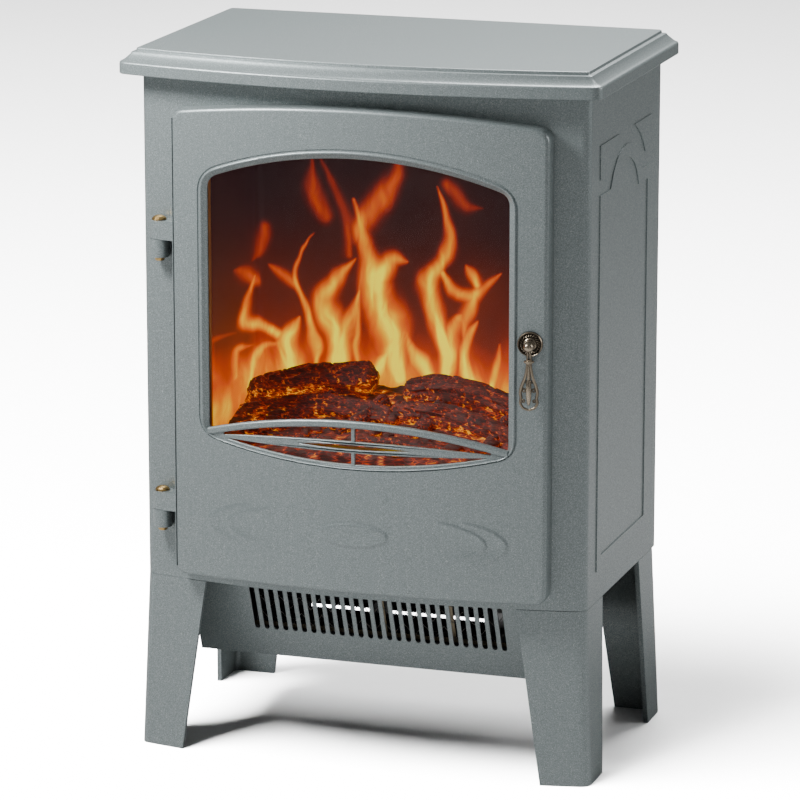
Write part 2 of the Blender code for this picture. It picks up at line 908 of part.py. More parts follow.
def make_base_plate():
    half = casing_width / 2 - sheet - gap
    rear = back - 2 * (sheet + gap)
    outline = bow_path(half, -(sheet + gap), corner_radius - sheet) + [(half, rear), (-half, rear)]
    plate = prism("base_plate", outline, "z", casing_foot, casing_foot + sheet, dark_sheet)
    holes = [
        (side * leg_screw_x(), y)
        for side in (-1, 1)
        for rear_leg in (False, True)
        for y in leg_screw_rows(rear_leg)
    ]
    for number, (x, y) in enumerate(holes):
        hole = rod(f"base_hole_{number}", (x, y, casing_foot), (0, 0, 1), screw_radius + gap, -0.01, 0.01)
        cut(plate, hole)
    return plate


def louvres(name, x_middle, z_low, count, pitch, length, height, y_span):
    """One cutter for a ladder of level slots in the back."""
    shape = bmesh.new()
    for number in range(count):
        z = z_low + number * pitch
        matrix = Matrix.Translation((x_middle, sum(y_span) / 2, z))
        matrix @= Matrix.Diagonal((length, y_span[1] - y_span[0], height, 1))
        bmesh.ops.create_cube(shape, size=1.0, matrix=matrix)
    return add_object(name, shape)


def make_rear_panel():
    half = casing_width / 2 - sheet - gap
    foot = casing_foot + gap
    panel = box("rear_panel", (-half, half), (back - sheet, back), (foot, casing_top - gap), dark_sheet)
    through = (back - 0.01, back + 0.01)
    cut(panel, louvres("top_louvres", 0.06, casing_top - 0.085, 6, 0.009, 0.110, 0.004, through))
    for number, (x, z) in enumerate(rear_screw_places()):
        cut(panel, rod(f"panel_hole_{number}", (x, back, z), (0, 1, 0), screw_radius + gap, -0.01, 0.01))
        make_screw(f"rear_screw_{number + 1}", (x, back + gap, z), (0, 1, 0))
    x, z, width, height = switch_window()
    hole = box("switch_hole", around(x, width + 2 * gap), through, around(z, height + 2 * gap))
    cut(panel, hole)
    for label, (x, z), radius in (("knob", knob_place, shaft_radius), ("gland", gland_place, gland_neck)):
        cut(panel, rod(label + "_hole", (x, back, casing_foot + z), (0, 1, 0), radius + gap, -0.01, 0.01))
    return panel


def switch_window():
    width = switch_pitch * (switch_count - 1) + rocker_size[0] + 0.006
    height = rocker_size[1] + 0.008
    return switch_middle[0], casing_foot + switch_middle[1], width, height


def make_switches():
    """A block through the back with a pocket for each rocker. Each rocker rests switched off."""
    x, z, width, height = switch_window()
    block = box(
        "switch_block",
        around(x, width),
        (back - 0.026, back + gap + 0.001),
        around(z, height),
        black_plastic,
    )
    flange = box(
        "switch_flange",
        around(x, width + 0.006),
        (back + gap, back + gap + 0.0015),
        around(z, height + 0.006),
    )
    join(block, flange)
    pivot_y = back - 0.0010
    for number in range(switch_count):
        rocker_x = x + (number - (switch_count - 1) / 2) * switch_pitch
        pocket_x = around(rocker_x, rocker_size[0] + 2 * running_gap)
        pocket = box(
            f"pocket_{number}",
            pocket_x,
            (pivot_y - 0.0100, back + 0.01),
            around(z, rocker_size[1] + 0.0028),
        )
        cut(block, pocket)
        half = rocker_size[1] / 2
        outline = [(-0.0080, -0.002), (-0.0080, 0.002), (0.0010, half), (0.0050, half)]
        outline += [(0.0030, 0.0), (0.0050, -half), (0.0010, -half)]
        rocker = prism(f"rocker_{number + 1}", outline, "x", *around(0, rocker_size[0]), black_plastic)
        rocker.location = (rocker_x, pivot_y, z)
        rocker.rotation_euler.x = -rocker_tilt
    return block


def make_thermostat():
    x = knob_place[0]
    z = casing_foot + knob_place[1]
    body = box(
        "thermostat", around(x, 0.030), (back - 0.028, back - sheet - gap), around(z, 0.034), black_plastic
    )
    cut(body, rod("thermostat_bore", (x, back, z), (0, 1, 0), shaft_radius + running_gap, -0.016, 0.01))
    profile = [(0, -0.0140), (shaft_radius, -0.0140), (shaft_radius, gap), (knob_radius, gap)]
    profile += [
        (knob_radius * 0.94, knob_height - 0.001), (knob_radius * 0.86, knob_height), (0, knob_height)
    ]
    knob = turned("thermostat_knob", profile, (x, back, z), (0, 1, 0), black_plastic, steps=24)
    pointer = box(
        "knob_pointer", around(x, 0.0016), around(back + knob_height, 0.0014), (z + 0.003, z + 0.011)
    )
    cut(knob, pointer)
    smooth_round(knob)
    return knob


def make_gland():
    x = gland_place[0]
    z = casing_foot + gland_place[1]
    inside = -(sheet + gap)
    profile = [
        (gland_bore, inside - 0.004),
        (0.0090, inside - 0.004),
        (0.0090, inside),
        (gland_neck, inside),
        (gland_neck, gap),
        (gland_radius, gap),
        (gland_radius * 0.9, 0.004),
        (0.0060, 0.0105),
        (gland_bore, 0.0105),
    ]
    gland = turned("cord_gland", profile, (x, back, z), (0, 1, 0), black_plastic, closed=True)
    smooth_round(gland)
    floor = casing_foot + sheet + gap
    block = box(
        "terminal_block",
        around(x - 0.045, 0.044),
        (back - 0.040, back - 0.022),
        (floor, floor + 0.015),
        white_board,
    )
    for number in range(3):
        hole = rod(
            f"terminal_hole_{number}",
            (x - 0.045 + (number - 1) * 0.013, back - 0.031, floor + 0.015),
            (0, 0, 1),
            0.0025,
            -0.008,
            0.01,
            steps=12,
        )
        cut(block, hole)


def make_firebox():
    """A sheet tunnel behind the casing's mouth, the log bed in it, and the screen behind it, whose
    wings line the tunnel's sides."""
    outer_x = around(door_middle, 2 * firebox_half)
    tunnel_front = front + firebox_front
    liner = box(
        "firebox_liner", outer_x, (tunnel_front, firebox_back), (firebox_foot, firebox_top), dark_sheet
    )
    inner_x = around(door_middle, 2 * (firebox_half - thin_sheet))
    inner_z = (firebox_foot + thin_sheet, firebox_top - thin_sheet)
    cut(liner, box("liner_hollow", inner_x, (tunnel_front - 0.01, firebox_back + 0.01), inner_z))
    screen = box(
        "flame_screen",
        outer_x,
        (firebox_back + gap, screen_back),
        (firebox_foot, firebox_top),
        flame_finish,
    )
    wing_y = (screen_back - wing_length, screen_back - screen_thickness / 2)
    wing_z = (inner_z[0] + gap, inner_z[1] - gap)
    for side in (-1, 1):
        outer = side * (firebox_half - thin_sheet - gap)
        wing_x = sorted((door_middle + outer, door_middle + outer - side * wing_thickness))
        join(screen, box(f"screen_wing_{side + 1}", wing_x, wing_y, wing_z))
    make_log_bed(inner_z[0] + gap, tunnel_front + log_bed_front)


def make_log_bed(foot, bed_front):
    """A sloping bed of embers with round logs laid on it."""
    half = firebox_half - thin_sheet - 2 * gap - wing_thickness - 0.0006
    bed_back = firebox_back - 0.004
    outline = [
        (bed_front, foot), (bed_back, foot), (bed_back, foot + log_bed_slope), (bed_front, foot + 0.014)
    ]
    bed = prism("log_bed", outline, "x", door_middle - half, door_middle + half, log_finish)
    logs = (
        ((left_log_inset - half, 0.080, 0.046), (1.0, 0.10, 0.10), 0.0150, 0.056),
        ((half - right_log_inset, 0.085, 0.048), (1.0, -0.08, -0.12), 0.0160, 0.060),
        ((-0.010, 0.058, 0.040), (1.0, -0.25, 0.05), 0.0120, 0.060),
        ((-0.030, 0.088, 0.056), (0.55, -1.0, 0.40), 0.0095, 0.034),
        ((0.030, 0.070, 0.050), (-0.70, -1.0, 0.30), 0.0095, 0.034),
    )
    for number, (place, direction, radius, reach) in enumerate(logs):
        centre = (door_middle + place[0], bed_front + place[1], foot + place[2])
        join(bed, rod(f"log_{number}", centre, direction, radius, -reach, reach, steps=10))


def make_flame_mechanism():
    """Behind the screen: a spindle of mirror flags with its motor, over a row of lamps."""
    shelf_foot = firebox_foot - 0.0002
    shelf = box(
        "lamp_shelf",
        around(door_middle, 2 * firebox_half),
        (screen_back + 0.004, screen_back + 0.004 + shelf_depth),
        (shelf_foot, shelf_foot + thin_sheet),
        dark_sheet,
    )
    axis_y = screen_back + rotor_back
    axis_z = shelf_foot + rotor_height
    shelf_top = shelf_foot + thin_sheet + gap
    left = door_middle - rotor_half
    spindle = rod(
        "flame_rotor",
        (left, axis_y, axis_z),
        (1, 0, 0),
        spindle_radius,
        -0.008,
        2 * rotor_half + 0.014,
        mirror_foil,
        steps=12,
    )
    for number in range(flag_count):
        x = (number + 0.5) * 2 * rotor_half / flag_count
        flag = box(
            f"flag_{number}", around(0, flag_size[0]), around(0, flag_size[1]), around(0, flag_size[2])
        )
        flag.location = (left + x, axis_y, axis_z)
        flag.rotation_euler.x = math.radians(52 * number)
        join(spindle, flag)
    motor_x = left + 2 * rotor_half + 0.004
    motor = rod(
        "rotor_motor",
        (motor_x, axis_y, axis_z),
        (1, 0, 0),
        rotor_motor_radius,
        0,
        rotor_motor_length,
        plain_steel,
    )
    stand = box("rotor_motor_stand", (motor_x, motor_x + 0.012), around(axis_y, 0.024), (shelf_top, axis_z))
    join(motor, stand)
    cut(
        motor,
        rod(
            "rotor_motor_bore", (motor_x, axis_y, axis_z), (1, 0, 0), spindle_radius + running_gap, -0.01, 0.011
        ),
    )
    bracket = box(
        "rotor_bracket",
        (left - 0.007, left - 0.004),
        around(axis_y, 0.020),
        (shelf_top, axis_z + 0.012),
        plain_steel,
    )
    cut(
        bracket,
        rod("bracket_bore", (left, axis_y, axis_z), (1, 0, 0), spindle_radius + running_gap, -0.02, 0.01),
    )
    board = box(
        "lamp_board",
        around(door_middle, board_size[0]),
        around(axis_y, board_size[1]),
        (shelf_top, shelf_top + board_size[2]),
        white_board,
    )
    for number in range(led_count):
        x = door_middle + (number - (led_count - 1) / 2) * board_size[0] / led_count
        join(
            board,
            rod(
                f"lamp_{number}",
                (x, axis_y, shelf_top),
                (0, 0, 1),
                led_radius,
                0.0005,
                board_size[2] + led_height,
                steps=12,
            ),
        )
    reflector_y = axis_y + 0.024
    outline = [
        (reflector_y, shelf_top),
        (reflector_y + 0.0012, shelf_top),
        (reflector_y + 0.0012, shelf_top + 0.060),
        (reflector_y - 0.0228, shelf_top + 0.110),
        (reflector_y - 0.0240, shelf_top + 0.110),
        (reflector_y, shelf_top + 0.060),
    ]
    prism("flame_reflector", outline, "x", door_middle - rotor_half, door_middle + rotor_half, mirror_foil)
    return shelf


def slanted(thing, y, z):
    """Tilts a piece that is modelled upright so that it follows the sloping vent."""
    thing.rotation_euler.x = box_lean_angle
    thing.location = (0, y, z)


def make_vent():
    """The heater box, with slots in its floor and back, and the slotted plate on its sloping face."""
    top = casing_foot - gap
    foot = top - box_height
    top_y = front + box_front
    foot_y = top_y + vent_lean
    rear = front + box_back
    plate_depth = sheet / math.cos(box_lean_angle)
    start = plate_depth + gap
    outline = [(top_y + start, top), (foot_y + start, foot), (rear, foot), (rear, top)]
    housing = prism("heater_box", outline, "x", -box_half, box_half, dark_sheet)
    hollow = [
        (top_y - 0.03, top + 0.01),
        (foot_y - 0.03, foot + sheet),
        (rear - sheet, foot + sheet),
        (rear - sheet, top + 0.01),
    ]
    cut(housing, prism("heater_box_hollow", hollow, "x", sheet - box_half, box_half - sheet))
    floor_slots = bmesh.new()
    pitch = 2 * (box_half - 0.022) / floor_slot_count
    for number in range(floor_slot_count):
        x = (number - (floor_slot_count - 1) / 2) * pitch
        matrix = Matrix.Translation((x, (foot_y + rear) / 2, foot))
        matrix @= Matrix.Diagonal((floor_slot_size[0], floor_slot_size[1], 0.02, 1))
        bmesh.ops.create_cube(floor_slots, size=1.0, matrix=matrix)
    cut(housing, add_object("floor_slots", floor_slots))
    cut(
        housing,
        louvres("box_louvres", 0.0, foot + 0.018, 5, 0.010, 0.200, 0.005, (rear - 0.01, rear + 0.01)),
    )

    outline = [(top_y, top), (foot_y, foot), (foot_y + plate_depth, foot), (top_y + plate_depth, top)]
    vent = prism("vent_panel", outline, "x", -box_half, box_half, grey_paint)
    slots = bmesh.new()
    straight = slot_length / 2 - slot_width / 2
    for number in range(slot_count):
        x = (number - (slot_count - 1) / 2) * slot_pitch
        ring = []
        for end in (1, -1):
            for step in range(5):
                angle = math.pi * step / 4
                ring.append(
                    (
                        x + end * slot_width / 2 * math.cos(angle),
                        end * (straight + slot_width / 2 * math.sin(angle)),
                    ),
                )
        faces = [[slots.verts.new((a, depth, b)) for a, b in ring] for depth in (-0.01, 0.01)]
        slots.faces.new(faces[0])
        slots.faces.new(faces[1])
        for here in range(len(ring)):
            beyond = (here + 1) % len(ring)
            slots.faces.new((faces[0][here], faces[0][beyond], faces[1][beyond], faces[1][here]))
    cutter = add_object("vent_slots", slots)
    drop = slot_drop + slot_length / 2
    slanted(cutter, top_y + drop * math.sin(box_lean_angle), top - drop * math.cos(box_lean_angle))
    cut(vent, cutter)
    make_heater(top_y, top, drop)
    make_fan(foot)


def make_heater(top_y, top, drop):
    """A mica frame behind the vent, with a heating wire that runs to and fro across its ribs."""
    y = top_y + drop * math.sin(box_lean_angle)
    z = top - drop * math.cos(box_lean_angle)
    low = -heater_length / 2
    frame = box(
        "heater_frame",
        around(0, 2 * heater_half),
        (heater_depth, heater_depth + 0.001),
        around(0, heater_length),
        mica,
    )
    slots = bmesh.new()
    bay = 2 * (heater_half - heater_rib) / 4
    for number in range(4):
        x = (number - 1.5) * bay
        matrix = Matrix.Translation((x, heater_depth, 0))
        matrix @= Matrix.Diagonal((bay - heater_rib, 0.02, heater_length - 2 * heater_rib, 1))
        bmesh.ops.create_cube(slots, size=1.0, matrix=matrix)
    cutter = add_object("heater_frame_bays", slots)
    cut(frame, cutter)

    row_height = (heater_length - 2 * heater_rib) / heater_rows
    points = []
    for row in range(heater_rows):
        way = 1 if row % 2 == 0 else -1
        middle = low + heater_rib + (row + 0.5) * row_height
        for tooth in range(heater_teeth + 1):
            x = way * (tooth / heater_teeth - 0.5) * 2 * (heater_half - 0.008)
            swing = 0.36 * row_height * (1 if tooth % 2 else -1)
            points.append((x, heater_depth - 0.003, middle + swing))
    curve = bpy.data.curves.new("heater_wire", "CURVE")
    curve.dimensions = "3D"
    curve.bevel_depth = wire_radius
    curve.bevel_resolution = 0
    curve.use_fill_caps = True
    spline = curve.splines.new("POLY")
    spline.points.add(len(points) - 1)
    for place, point in zip(spline.points, points):
        place.co = (*point, 1.0)
    wire = bpy.data.objects.new("heater_wire", curve)
    bpy.context.scene.collection.objects.link(wire)
    give_finish(wire, heater_alloy)
    cutout = rod(
        "thermal_cutout",
        (0, 0, 0),
        (0, 1, 0),
        0.0075,
        heater_depth + 0.001 + gap,
        heater_depth + 0.009,
        black_plastic,
        steps=16,
    )
    for piece in (frame, cutter, wire):
        slanted(piece, y, z)
    cutout.matrix_world = (
        Matrix.Translation((0, y, z)) @ Matrix.Rotation(box_lean_angle, 4, "X") @ cutout.matrix_basis
    )


def make_fan(box_foot):
    """A cross-flow fan: a drum of blades between end discs, a bush at one end and a motor at the other."""
    y = front + fan_back
    z = fan_height
    left = -fan_half - 0.020
    length = 2 * fan_half
    fan = rod(
        "fan_impeller",
        (left, y, z),
        (1, 0, 0),
        shaft_radius,
        -0.012,
        length + 0.016,
        black_plastic,
        steps=12,
    )
    for number, x in enumerate((0.0, length / 2, length)):
        join(
            fan, rod(f"fan_disc_{number}", (left + x, y, z), (1, 0, 0), fan_radius, -0.001, 0.001, steps=24)
        )
    for number in range(fan_blades):
        angle = math.tau * number / fan_blades
        middle = fan_radius - 0.0005 - fan_blade_depth / 2
        blade = box(f"fan_blade_{number}", (0, length), around(0, 0.001), around(middle, fan_blade_depth))
        blade.matrix_world = Matrix.Translation((left, y, z)) @ Matrix.Rotation(angle, 4, "X")
        join(fan, blade)
    motor_x = left + length + 0.006
    motor = rod(
        "fan_motor",
        (motor_x, y, z),
        (1, 0, 0),
        fan_motor_radius,
        0,
        fan_motor_length,
        plain_steel,
        steps=24,
    )
    floor = box_foot + sheet + gap
    join(motor, box("fan_motor_foot", (motor_x + 0.004, motor_x + 0.026), around(y, 0.040), (floor, z)))
    cut(motor, rod("fan_motor_bore", (motor_x, y, z), (1, 0, 0), shaft_radius + running_gap, -0.01, 0.012))
    bearing = box(
        "fan_bearing", (left - 0.010, left - 0.006), around(y, 0.030), (floor, z + 0.012), plain_steel
    )
    cut(bearing, rod("bearing_bore", (left, y, z), (1, 0, 0), shaft_radius + running_gap, -0.02, 0.01))
    smooth_round(motor)


def build():
    for old in list(bpy.data.objects):
        bpy.data.objects.remove(old, do_unlink=True)
    make_slab()
    make_casing()
    make_base_plate()
    make_rear_panel()
    door_pieces = [make_door(), *make_glass(), *make_handle(), make_catch()]
    make_hinge_pins()
    for rear in (False, True):
        for side in (-1, 1):
            make_leg(side, rear)
    make_switches()
    make_thermostat()
    make_gland()
    make_firebox()
    make_flame_mechanism()
    make_vent()
    axis_x, axis_y = hinge_axis()
    ride_on(empty_at("door_hinge_axis", (axis_x, axis_y, hinge_heights[0])), door_pieces)


build()
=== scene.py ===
import math
import json
import bpy
import bmesh
import numpy as np
from mathutils import Matrix, Vector, noise


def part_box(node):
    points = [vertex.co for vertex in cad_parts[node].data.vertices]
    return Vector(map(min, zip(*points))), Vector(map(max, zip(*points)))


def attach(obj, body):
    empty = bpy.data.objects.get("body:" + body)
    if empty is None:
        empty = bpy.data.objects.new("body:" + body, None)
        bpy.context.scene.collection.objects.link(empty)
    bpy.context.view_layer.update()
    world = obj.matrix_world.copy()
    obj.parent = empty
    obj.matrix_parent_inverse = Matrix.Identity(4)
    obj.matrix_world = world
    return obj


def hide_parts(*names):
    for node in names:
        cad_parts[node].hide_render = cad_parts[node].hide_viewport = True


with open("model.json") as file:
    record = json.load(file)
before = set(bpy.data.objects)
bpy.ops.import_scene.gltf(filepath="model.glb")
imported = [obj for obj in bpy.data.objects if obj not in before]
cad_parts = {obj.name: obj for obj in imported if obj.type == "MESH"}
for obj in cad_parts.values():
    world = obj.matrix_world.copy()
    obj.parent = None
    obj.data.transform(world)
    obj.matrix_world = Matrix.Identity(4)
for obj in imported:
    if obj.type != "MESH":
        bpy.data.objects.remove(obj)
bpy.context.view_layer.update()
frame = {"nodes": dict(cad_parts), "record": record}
nodes = frame["nodes"]
print("frame loaded:", len(nodes), "nodes")

stove = {
    "bowRadius": 0.883,
    "front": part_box("casing")[0].y,
    "back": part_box("casing")[1].y,
    "middle": 0.0035,  # the door and the firebox stand this far right of centre
    "gap": 0.0003,
}


def bowY(x, ahead=0.0):
    # the bowed front at x, or a surface that stands ahead of it
    radius = stove["bowRadius"] + ahead
    return stove["front"] + stove["bowRadius"] - math.sqrt(radius**2 - x**2)


def arcDrop(rise, half, x):
    radius = (half**2 + rise**2) / (2 * rise)
    return radius - math.sqrt(radius**2 - x**2)


def eased(value, low, high):
    share = min(max((value - low) / (high - low), 0.0), 1.0)
    return share * share * (3 - 2 * share)


# finishes: one wrapped socket does the sums, and one method adds every other node


class Flow:
    def __init__(self, finish, socket):
        self.finish = finish
        self.socket = socket

    def math(self, operation, *values):
        return self.finish.add("ShaderNodeMath", {"operation": operation}, dict(enumerate(values)))

    def __add__(self, other):
        return self.math("ADD", self, other)

    def __sub__(self, other):
        return self.math("SUBTRACT", self, other)

    def __rsub__(self, other):
        return self.math("SUBTRACT", other, self)

    def __mul__(self, other):
        return self.math("MULTIPLY", self, other)

    def __pow__(self, other):
        return self.math("POWER", self, other)

    __radd__ = __add__
    __rmul__ = __mul__


class Finish:
    def __init__(self, name, **surface):
        self.material = bpy.data.materials.new(name)
        self.material.use_nodes = True
        self.tree = self.material.node_tree
        self.shader = self.tree.nodes["Principled BSDF"]
        self.place = self.add("ShaderNodeTexCoord", {}, {}, "Object")
        self.set(**surface)

    def add(self, kind, settings, values, output=0):
        node = self.tree.nodes.new(kind)
        for name, value in settings.items():
            if name == "stops":
                self.setRamp(node.color_ramp, value)
            else:
                setattr(node, name, value)
        for name, value in values.items():
            self.feed(node.inputs[name], value)
        return Flow(self, node.outputs[output])

    def setRamp(self, ramp, stops):
        while len(ramp.elements) < len(stops):
            ramp.elements.new(0.5)
        for element, (position, colour) in zip(ramp.elements, stops):
            element.position = position
            element.color = (*colour, 1.0)

    def feed(self, socket, value):
        if isinstance(value, Flow):
            self.tree.links.new(value.socket, socket)
        elif isinstance(value, tuple) and len(value) == 3 and socket.type == "RGBA":
            socket.default_value = (*value, 1.0)
        else:
            socket.default_value = value

    def set(self, **surface):
        for name, value in surface.items():
            self.feed(self.shader.inputs[socketNames[name]], value)

    def noise(self, scale, detail=2.0, roughness=0.5, where=None, distortion=0.0):
        values = {"Vector": where or self.place, "Scale": scale, "Detail": detail}
        values.update({"Roughness": roughness, "Distortion": distortion})
        return self.add("ShaderNodeTexNoise", {}, values, "Fac")

    def cells(self, scale, feature, output, where=None):
        values = {"Vector": where or self.place, "Scale": scale}
        return self.add("ShaderNodeTexVoronoi", {"feature": feature}, values, output)

    def stretched(self, scale, turn=(0.0, 0.0, 0.0)):
        values = {"Vector": self.place, "Scale": scale, "Rotation": turn}
        return self.add("ShaderNodeMapping", {}, values)

    def ramp(self, value, stops):
        return self.add("ShaderNodeValToRGB", {"stops": stops}, {"Fac": value})

    def span(self, value, low, high, fromLow=0.0, fromHigh=1.0):
        values = {"Value": value, 1: fromLow, 2: fromHigh, 3: low, 4: high}
        return self.add("ShaderNodeMapRange", {"clamp": True}, values)

    def mix(self, share, first, second, way="MIX"):
        values = {"Factor": share, 6: first, 7: second}
        return self.add("ShaderNodeMix", {"data_type": "RGBA", "blend_type": way}, values, 2)

    def bump(self, height, distance, strength=1.0, normal=None):
        values = {"Height": height, "Distance": distance, "Strength": strength}
        if normal:
            values["Normal"] = normal
        return self.add("ShaderNodeBump", {}, values)

    def attribute(self, name, output="Fac"):
        return self.add("ShaderNodeAttribute", {"attribute_name": name}, {}, output)


socketNames = {
    "colour": "Base Color",
    "roughness": "Roughness",
    "metallic": "Metallic",
    "coat": "Coat Weight",
    "coatRoughness": "Coat Roughness",
    "alpha": "Alpha",
    "glow": "Emission Color",
    "glowStrength": "Emission Strength",
    "normal": "Normal",
    "ior": "IOR",
    "specular": "Specular IOR Level",
    "sheen": "Sheen Weight",
}


def stovePaint():
    # grey-green stove enamel with fine metal flake and a grain like cast iron
    paint = Finish("stovePaint", metallic=0.42, coat=0.35, coatRoughness=0.20)
    flake = paint.noise(1150, 1.0, 0.6)
    cloud = paint.noise(14, 3.0)
    spark = paint.span(paint.noise(1900, 0.0), 0.0, 1.0, 0.66, 0.80)
    tone = paint.ramp(flake, [
        (0.34, (0.150, 0.180, 0.182)), (0.52, (0.205, 0.240, 0.242)), (0.70, (0.275, 0.315, 0.317)),
    ])
    tone = paint.mix(paint.span(cloud, 0.0, 0.35, 0.35, 0.7), tone, (0.190, 0.225, 0.227))
    tone = paint.mix(spark * 0.55, tone, (0.62, 0.66, 0.66))
    grain = flake * 0.6 + paint.noise(420, 2.0) * 0.4
    paint.set(
        colour=tone,
        roughness=paint.span(flake, 0.50, 0.36) + spark * -0.08,
        normal=paint.bump(grain, 0.00012, 0.40),
    )
    return paint.material


def sheetMetal(name, dark, pale, metallic, rough):
    # rolled sheet with faint long streaks and a mottled coat
    metal = Finish(name, metallic=metallic)
    streak = metal.noise(60, 4.0, 0.6, metal.stretched((1.0, 14.0, 14.0)))
    mottle = metal.cells(240, "F1", "Distance") * 0.4 + metal.noise(30, 3.0) * 0.6
    worn = metal.span(metal.noise(9, 5.0, 0.65), 0.0, 1.0, 0.55, 0.75)
    tone = metal.mix(streak * 0.5 + mottle * 0.5, dark, pale)
    metal.set(
        colour=metal.mix(worn * 0.25, tone, pale),
        roughness=metal.span(streak, rough - 0.08, rough + 0.12),
        normal=metal.bump(streak * 0.5 + metal.noise(700, 2.0) * 0.5, 0.00008, 0.5),
    )
    return metal.material


def mouldedPlastic(name, dark, pale, rough):
    # moulded plastic with a fine spark-eroded grain
    plastic = Finish(name, metallic=0.0, specular=0.4)
    grain = plastic.noise(1300, 3.0, 0.7)
    drift = plastic.noise(45, 3.0)
    plastic.set(
        colour=plastic.mix(drift * 0.6 + grain * 0.4, dark, pale),
        roughness=plastic.span(grain, rough - 0.07, rough + 0.12),
        normal=plastic.bump(grain, 0.00010, 0.6),
    )
    return plastic.material


def oldBrass():
    # cast brass left dark in its hollows and rubbed pale on what stands out
    brass = Finish("oldBrass", metallic=0.92)
    crest = brass.attribute("crest")
    patch = brass.noise(900, 4.0, 0.6)
    rubbed = brass.span(crest + (patch - 0.5) * 0.5, 0.0, 1.0, 0.30, 0.95)
    tone = brass.mix(rubbed, (0.020, 0.014, 0.010), (0.36, 0.30, 0.225))
    brass.set(
        colour=brass.mix(brass.span(patch, 0.0, 0.5, 0.5, 0.8), tone, (0.10, 0.072, 0.045)),
        roughness=brass.span(rubbed, 0.60, 0.27),
        normal=brass.bump(patch, 0.00012, 0.5),
    )
    return brass.material


def pinBrass():
    # turned brass with lathe rings round the pin's upright axis
    brass = Finish("pinBrass", metallic=0.95)
    rings = brass.noise(500, 2.0, 0.5, brass.stretched((0.15, 0.15, 3.0)))
    dull = brass.noise(260, 4.0, 0.65)
    tone = brass.mix(brass.span(dull, 0.0, 1.0, 0.35, 0.75), (0.50, 0.33, 0.12), (0.20, 0.115, 0.045))
    brass.set(
        colour=brass.mix(rings * 0.35, tone, (0.74, 0.52, 0.24)),
        roughness=brass.span(dull, 0.24, 0.48),
        normal=brass.bump(rings, 0.00008, 0.4),
    )
    return brass.material


def windowGlass():
    # a clear pane with a breath of dust
    glass = Finish("windowGlass", metallic=0.0, ior=1.45, specular=0.6)
    dust = glass.noise(35, 4.0, 0.6)
    glass.set(
        colour=glass.mix(dust, (0.012, 0.010, 0.010), (0.035, 0.030, 0.028)),
        roughness=glass.span(dust, 0.04, 0.13),
        alpha=glass.span(dust, 0.035, 0.075, 0.3, 0.75),
    )
    return glass.material


emberColours = [
    (0.22, (0.006, 0.0, 0.0)),
    (0.42, (0.060, 0.001, 0.0)),
    (0.60, (0.22, 0.008, 0.0)),
    (0.78, (0.58, 0.048, 0.0)),
    (0.92, (0.88, 0.17, 0.0)),
    (1.0, (1.10, 0.46, 0.0)),
]


def charredLog():
    # charcoal, lit from inside through its cracks
    log = Finish("charredLog", metallic=0.0, glowStrength=1.0)
    ember = log.attribute("ember")
    fine = log.cells(420, "DISTANCE_TO_EDGE", "Distance", log.stretched((0.28, 1.0, 1.0)))
    crack = log.span(fine, 1.0, 0.0, 0.0, 0.10)
    soot = log.noise(130, 5.0, 0.65, log.stretched((0.30, 1.0, 1.0)))
    heat = ember + crack * (ember + 0.30) * 0.62 + (soot - 0.5) * 0.22
    log.set(
        colour=log.ramp(soot, [
            (0.30, (0.010, 0.004, 0.003)), (0.55, (0.060, 0.014, 0.008)), (0.80, (0.14, 0.036, 0.018)),
        ]),
        roughness=log.span(soot, 0.68, 0.92),
        glow=log.ramp(heat, emberColours),
        normal=log.bump(soot * 0.7 + fine * 0.3, 0.0006, 0.8),
    )
    return log.material


def flamePrint():
    # the lit flame picture: dull red haze, orange bodies and yellow cores
    flame = Finish("flamePrint", metallic=0.0, roughness=0.7, glowStrength=1.0)
    heat = flame.attribute("blaze")
    haze = flame.attribute("haze")
    fine = (flame.noise(210, 2.0, 0.5, flame.stretched((1.0, 1.0, 0.25))) - 0.5) * 0.10
    lit = flame.ramp(heat + fine * heat, flameColours)
    dim = flame.mix(haze, (0.010, 0.004, 0.006), (0.23, 0.020, 0.0))
    flame.set(
        colour=flame.mix(haze, (0.02, 0.008, 0.006), (0.05, 0.014, 0.004)),
        glow=flame.mix(1.0, lit, dim, "ADD"),
    )
    return flame.material


flameColours = [
    (0.00, (0.0, 0.0, 0.0)),
    (0.14, (0.060, 0.002, 0.0)),
    (0.30, (0.28, 0.014, 0.0)),
    (0.46, (0.58, 0.060, 0.0)),
    (0.62, (0.82, 0.18, 0.0)),
    (0.80, (1.00, 0.48, 0.0)),
    (1.00, (1.30, 1.08, 0.0)),
]


def circuitBoard():
    # white board with a few pale tracks under the lacquer
    board = Finish("circuitBoard", metallic=0.0, coat=0.3)
    track = board.span(board.cells(160, "DISTANCE_TO_EDGE", "Distance"), 1.0, 0.0, 0.0, 0.12)
    weave = board.noise(900, 2.0)
    board.set(
        colour=board.mix(
            track * 0.35, board.mix(weave, (0.62, 0.62, 0.55), (0.78, 0.77, 0.70)), (0.35, 0.50, 0.36),
        ),
        roughness=board.span(weave, 0.34, 0.50),
        normal=board.bump(track, 0.00006, 0.5),
    )
    return board.material


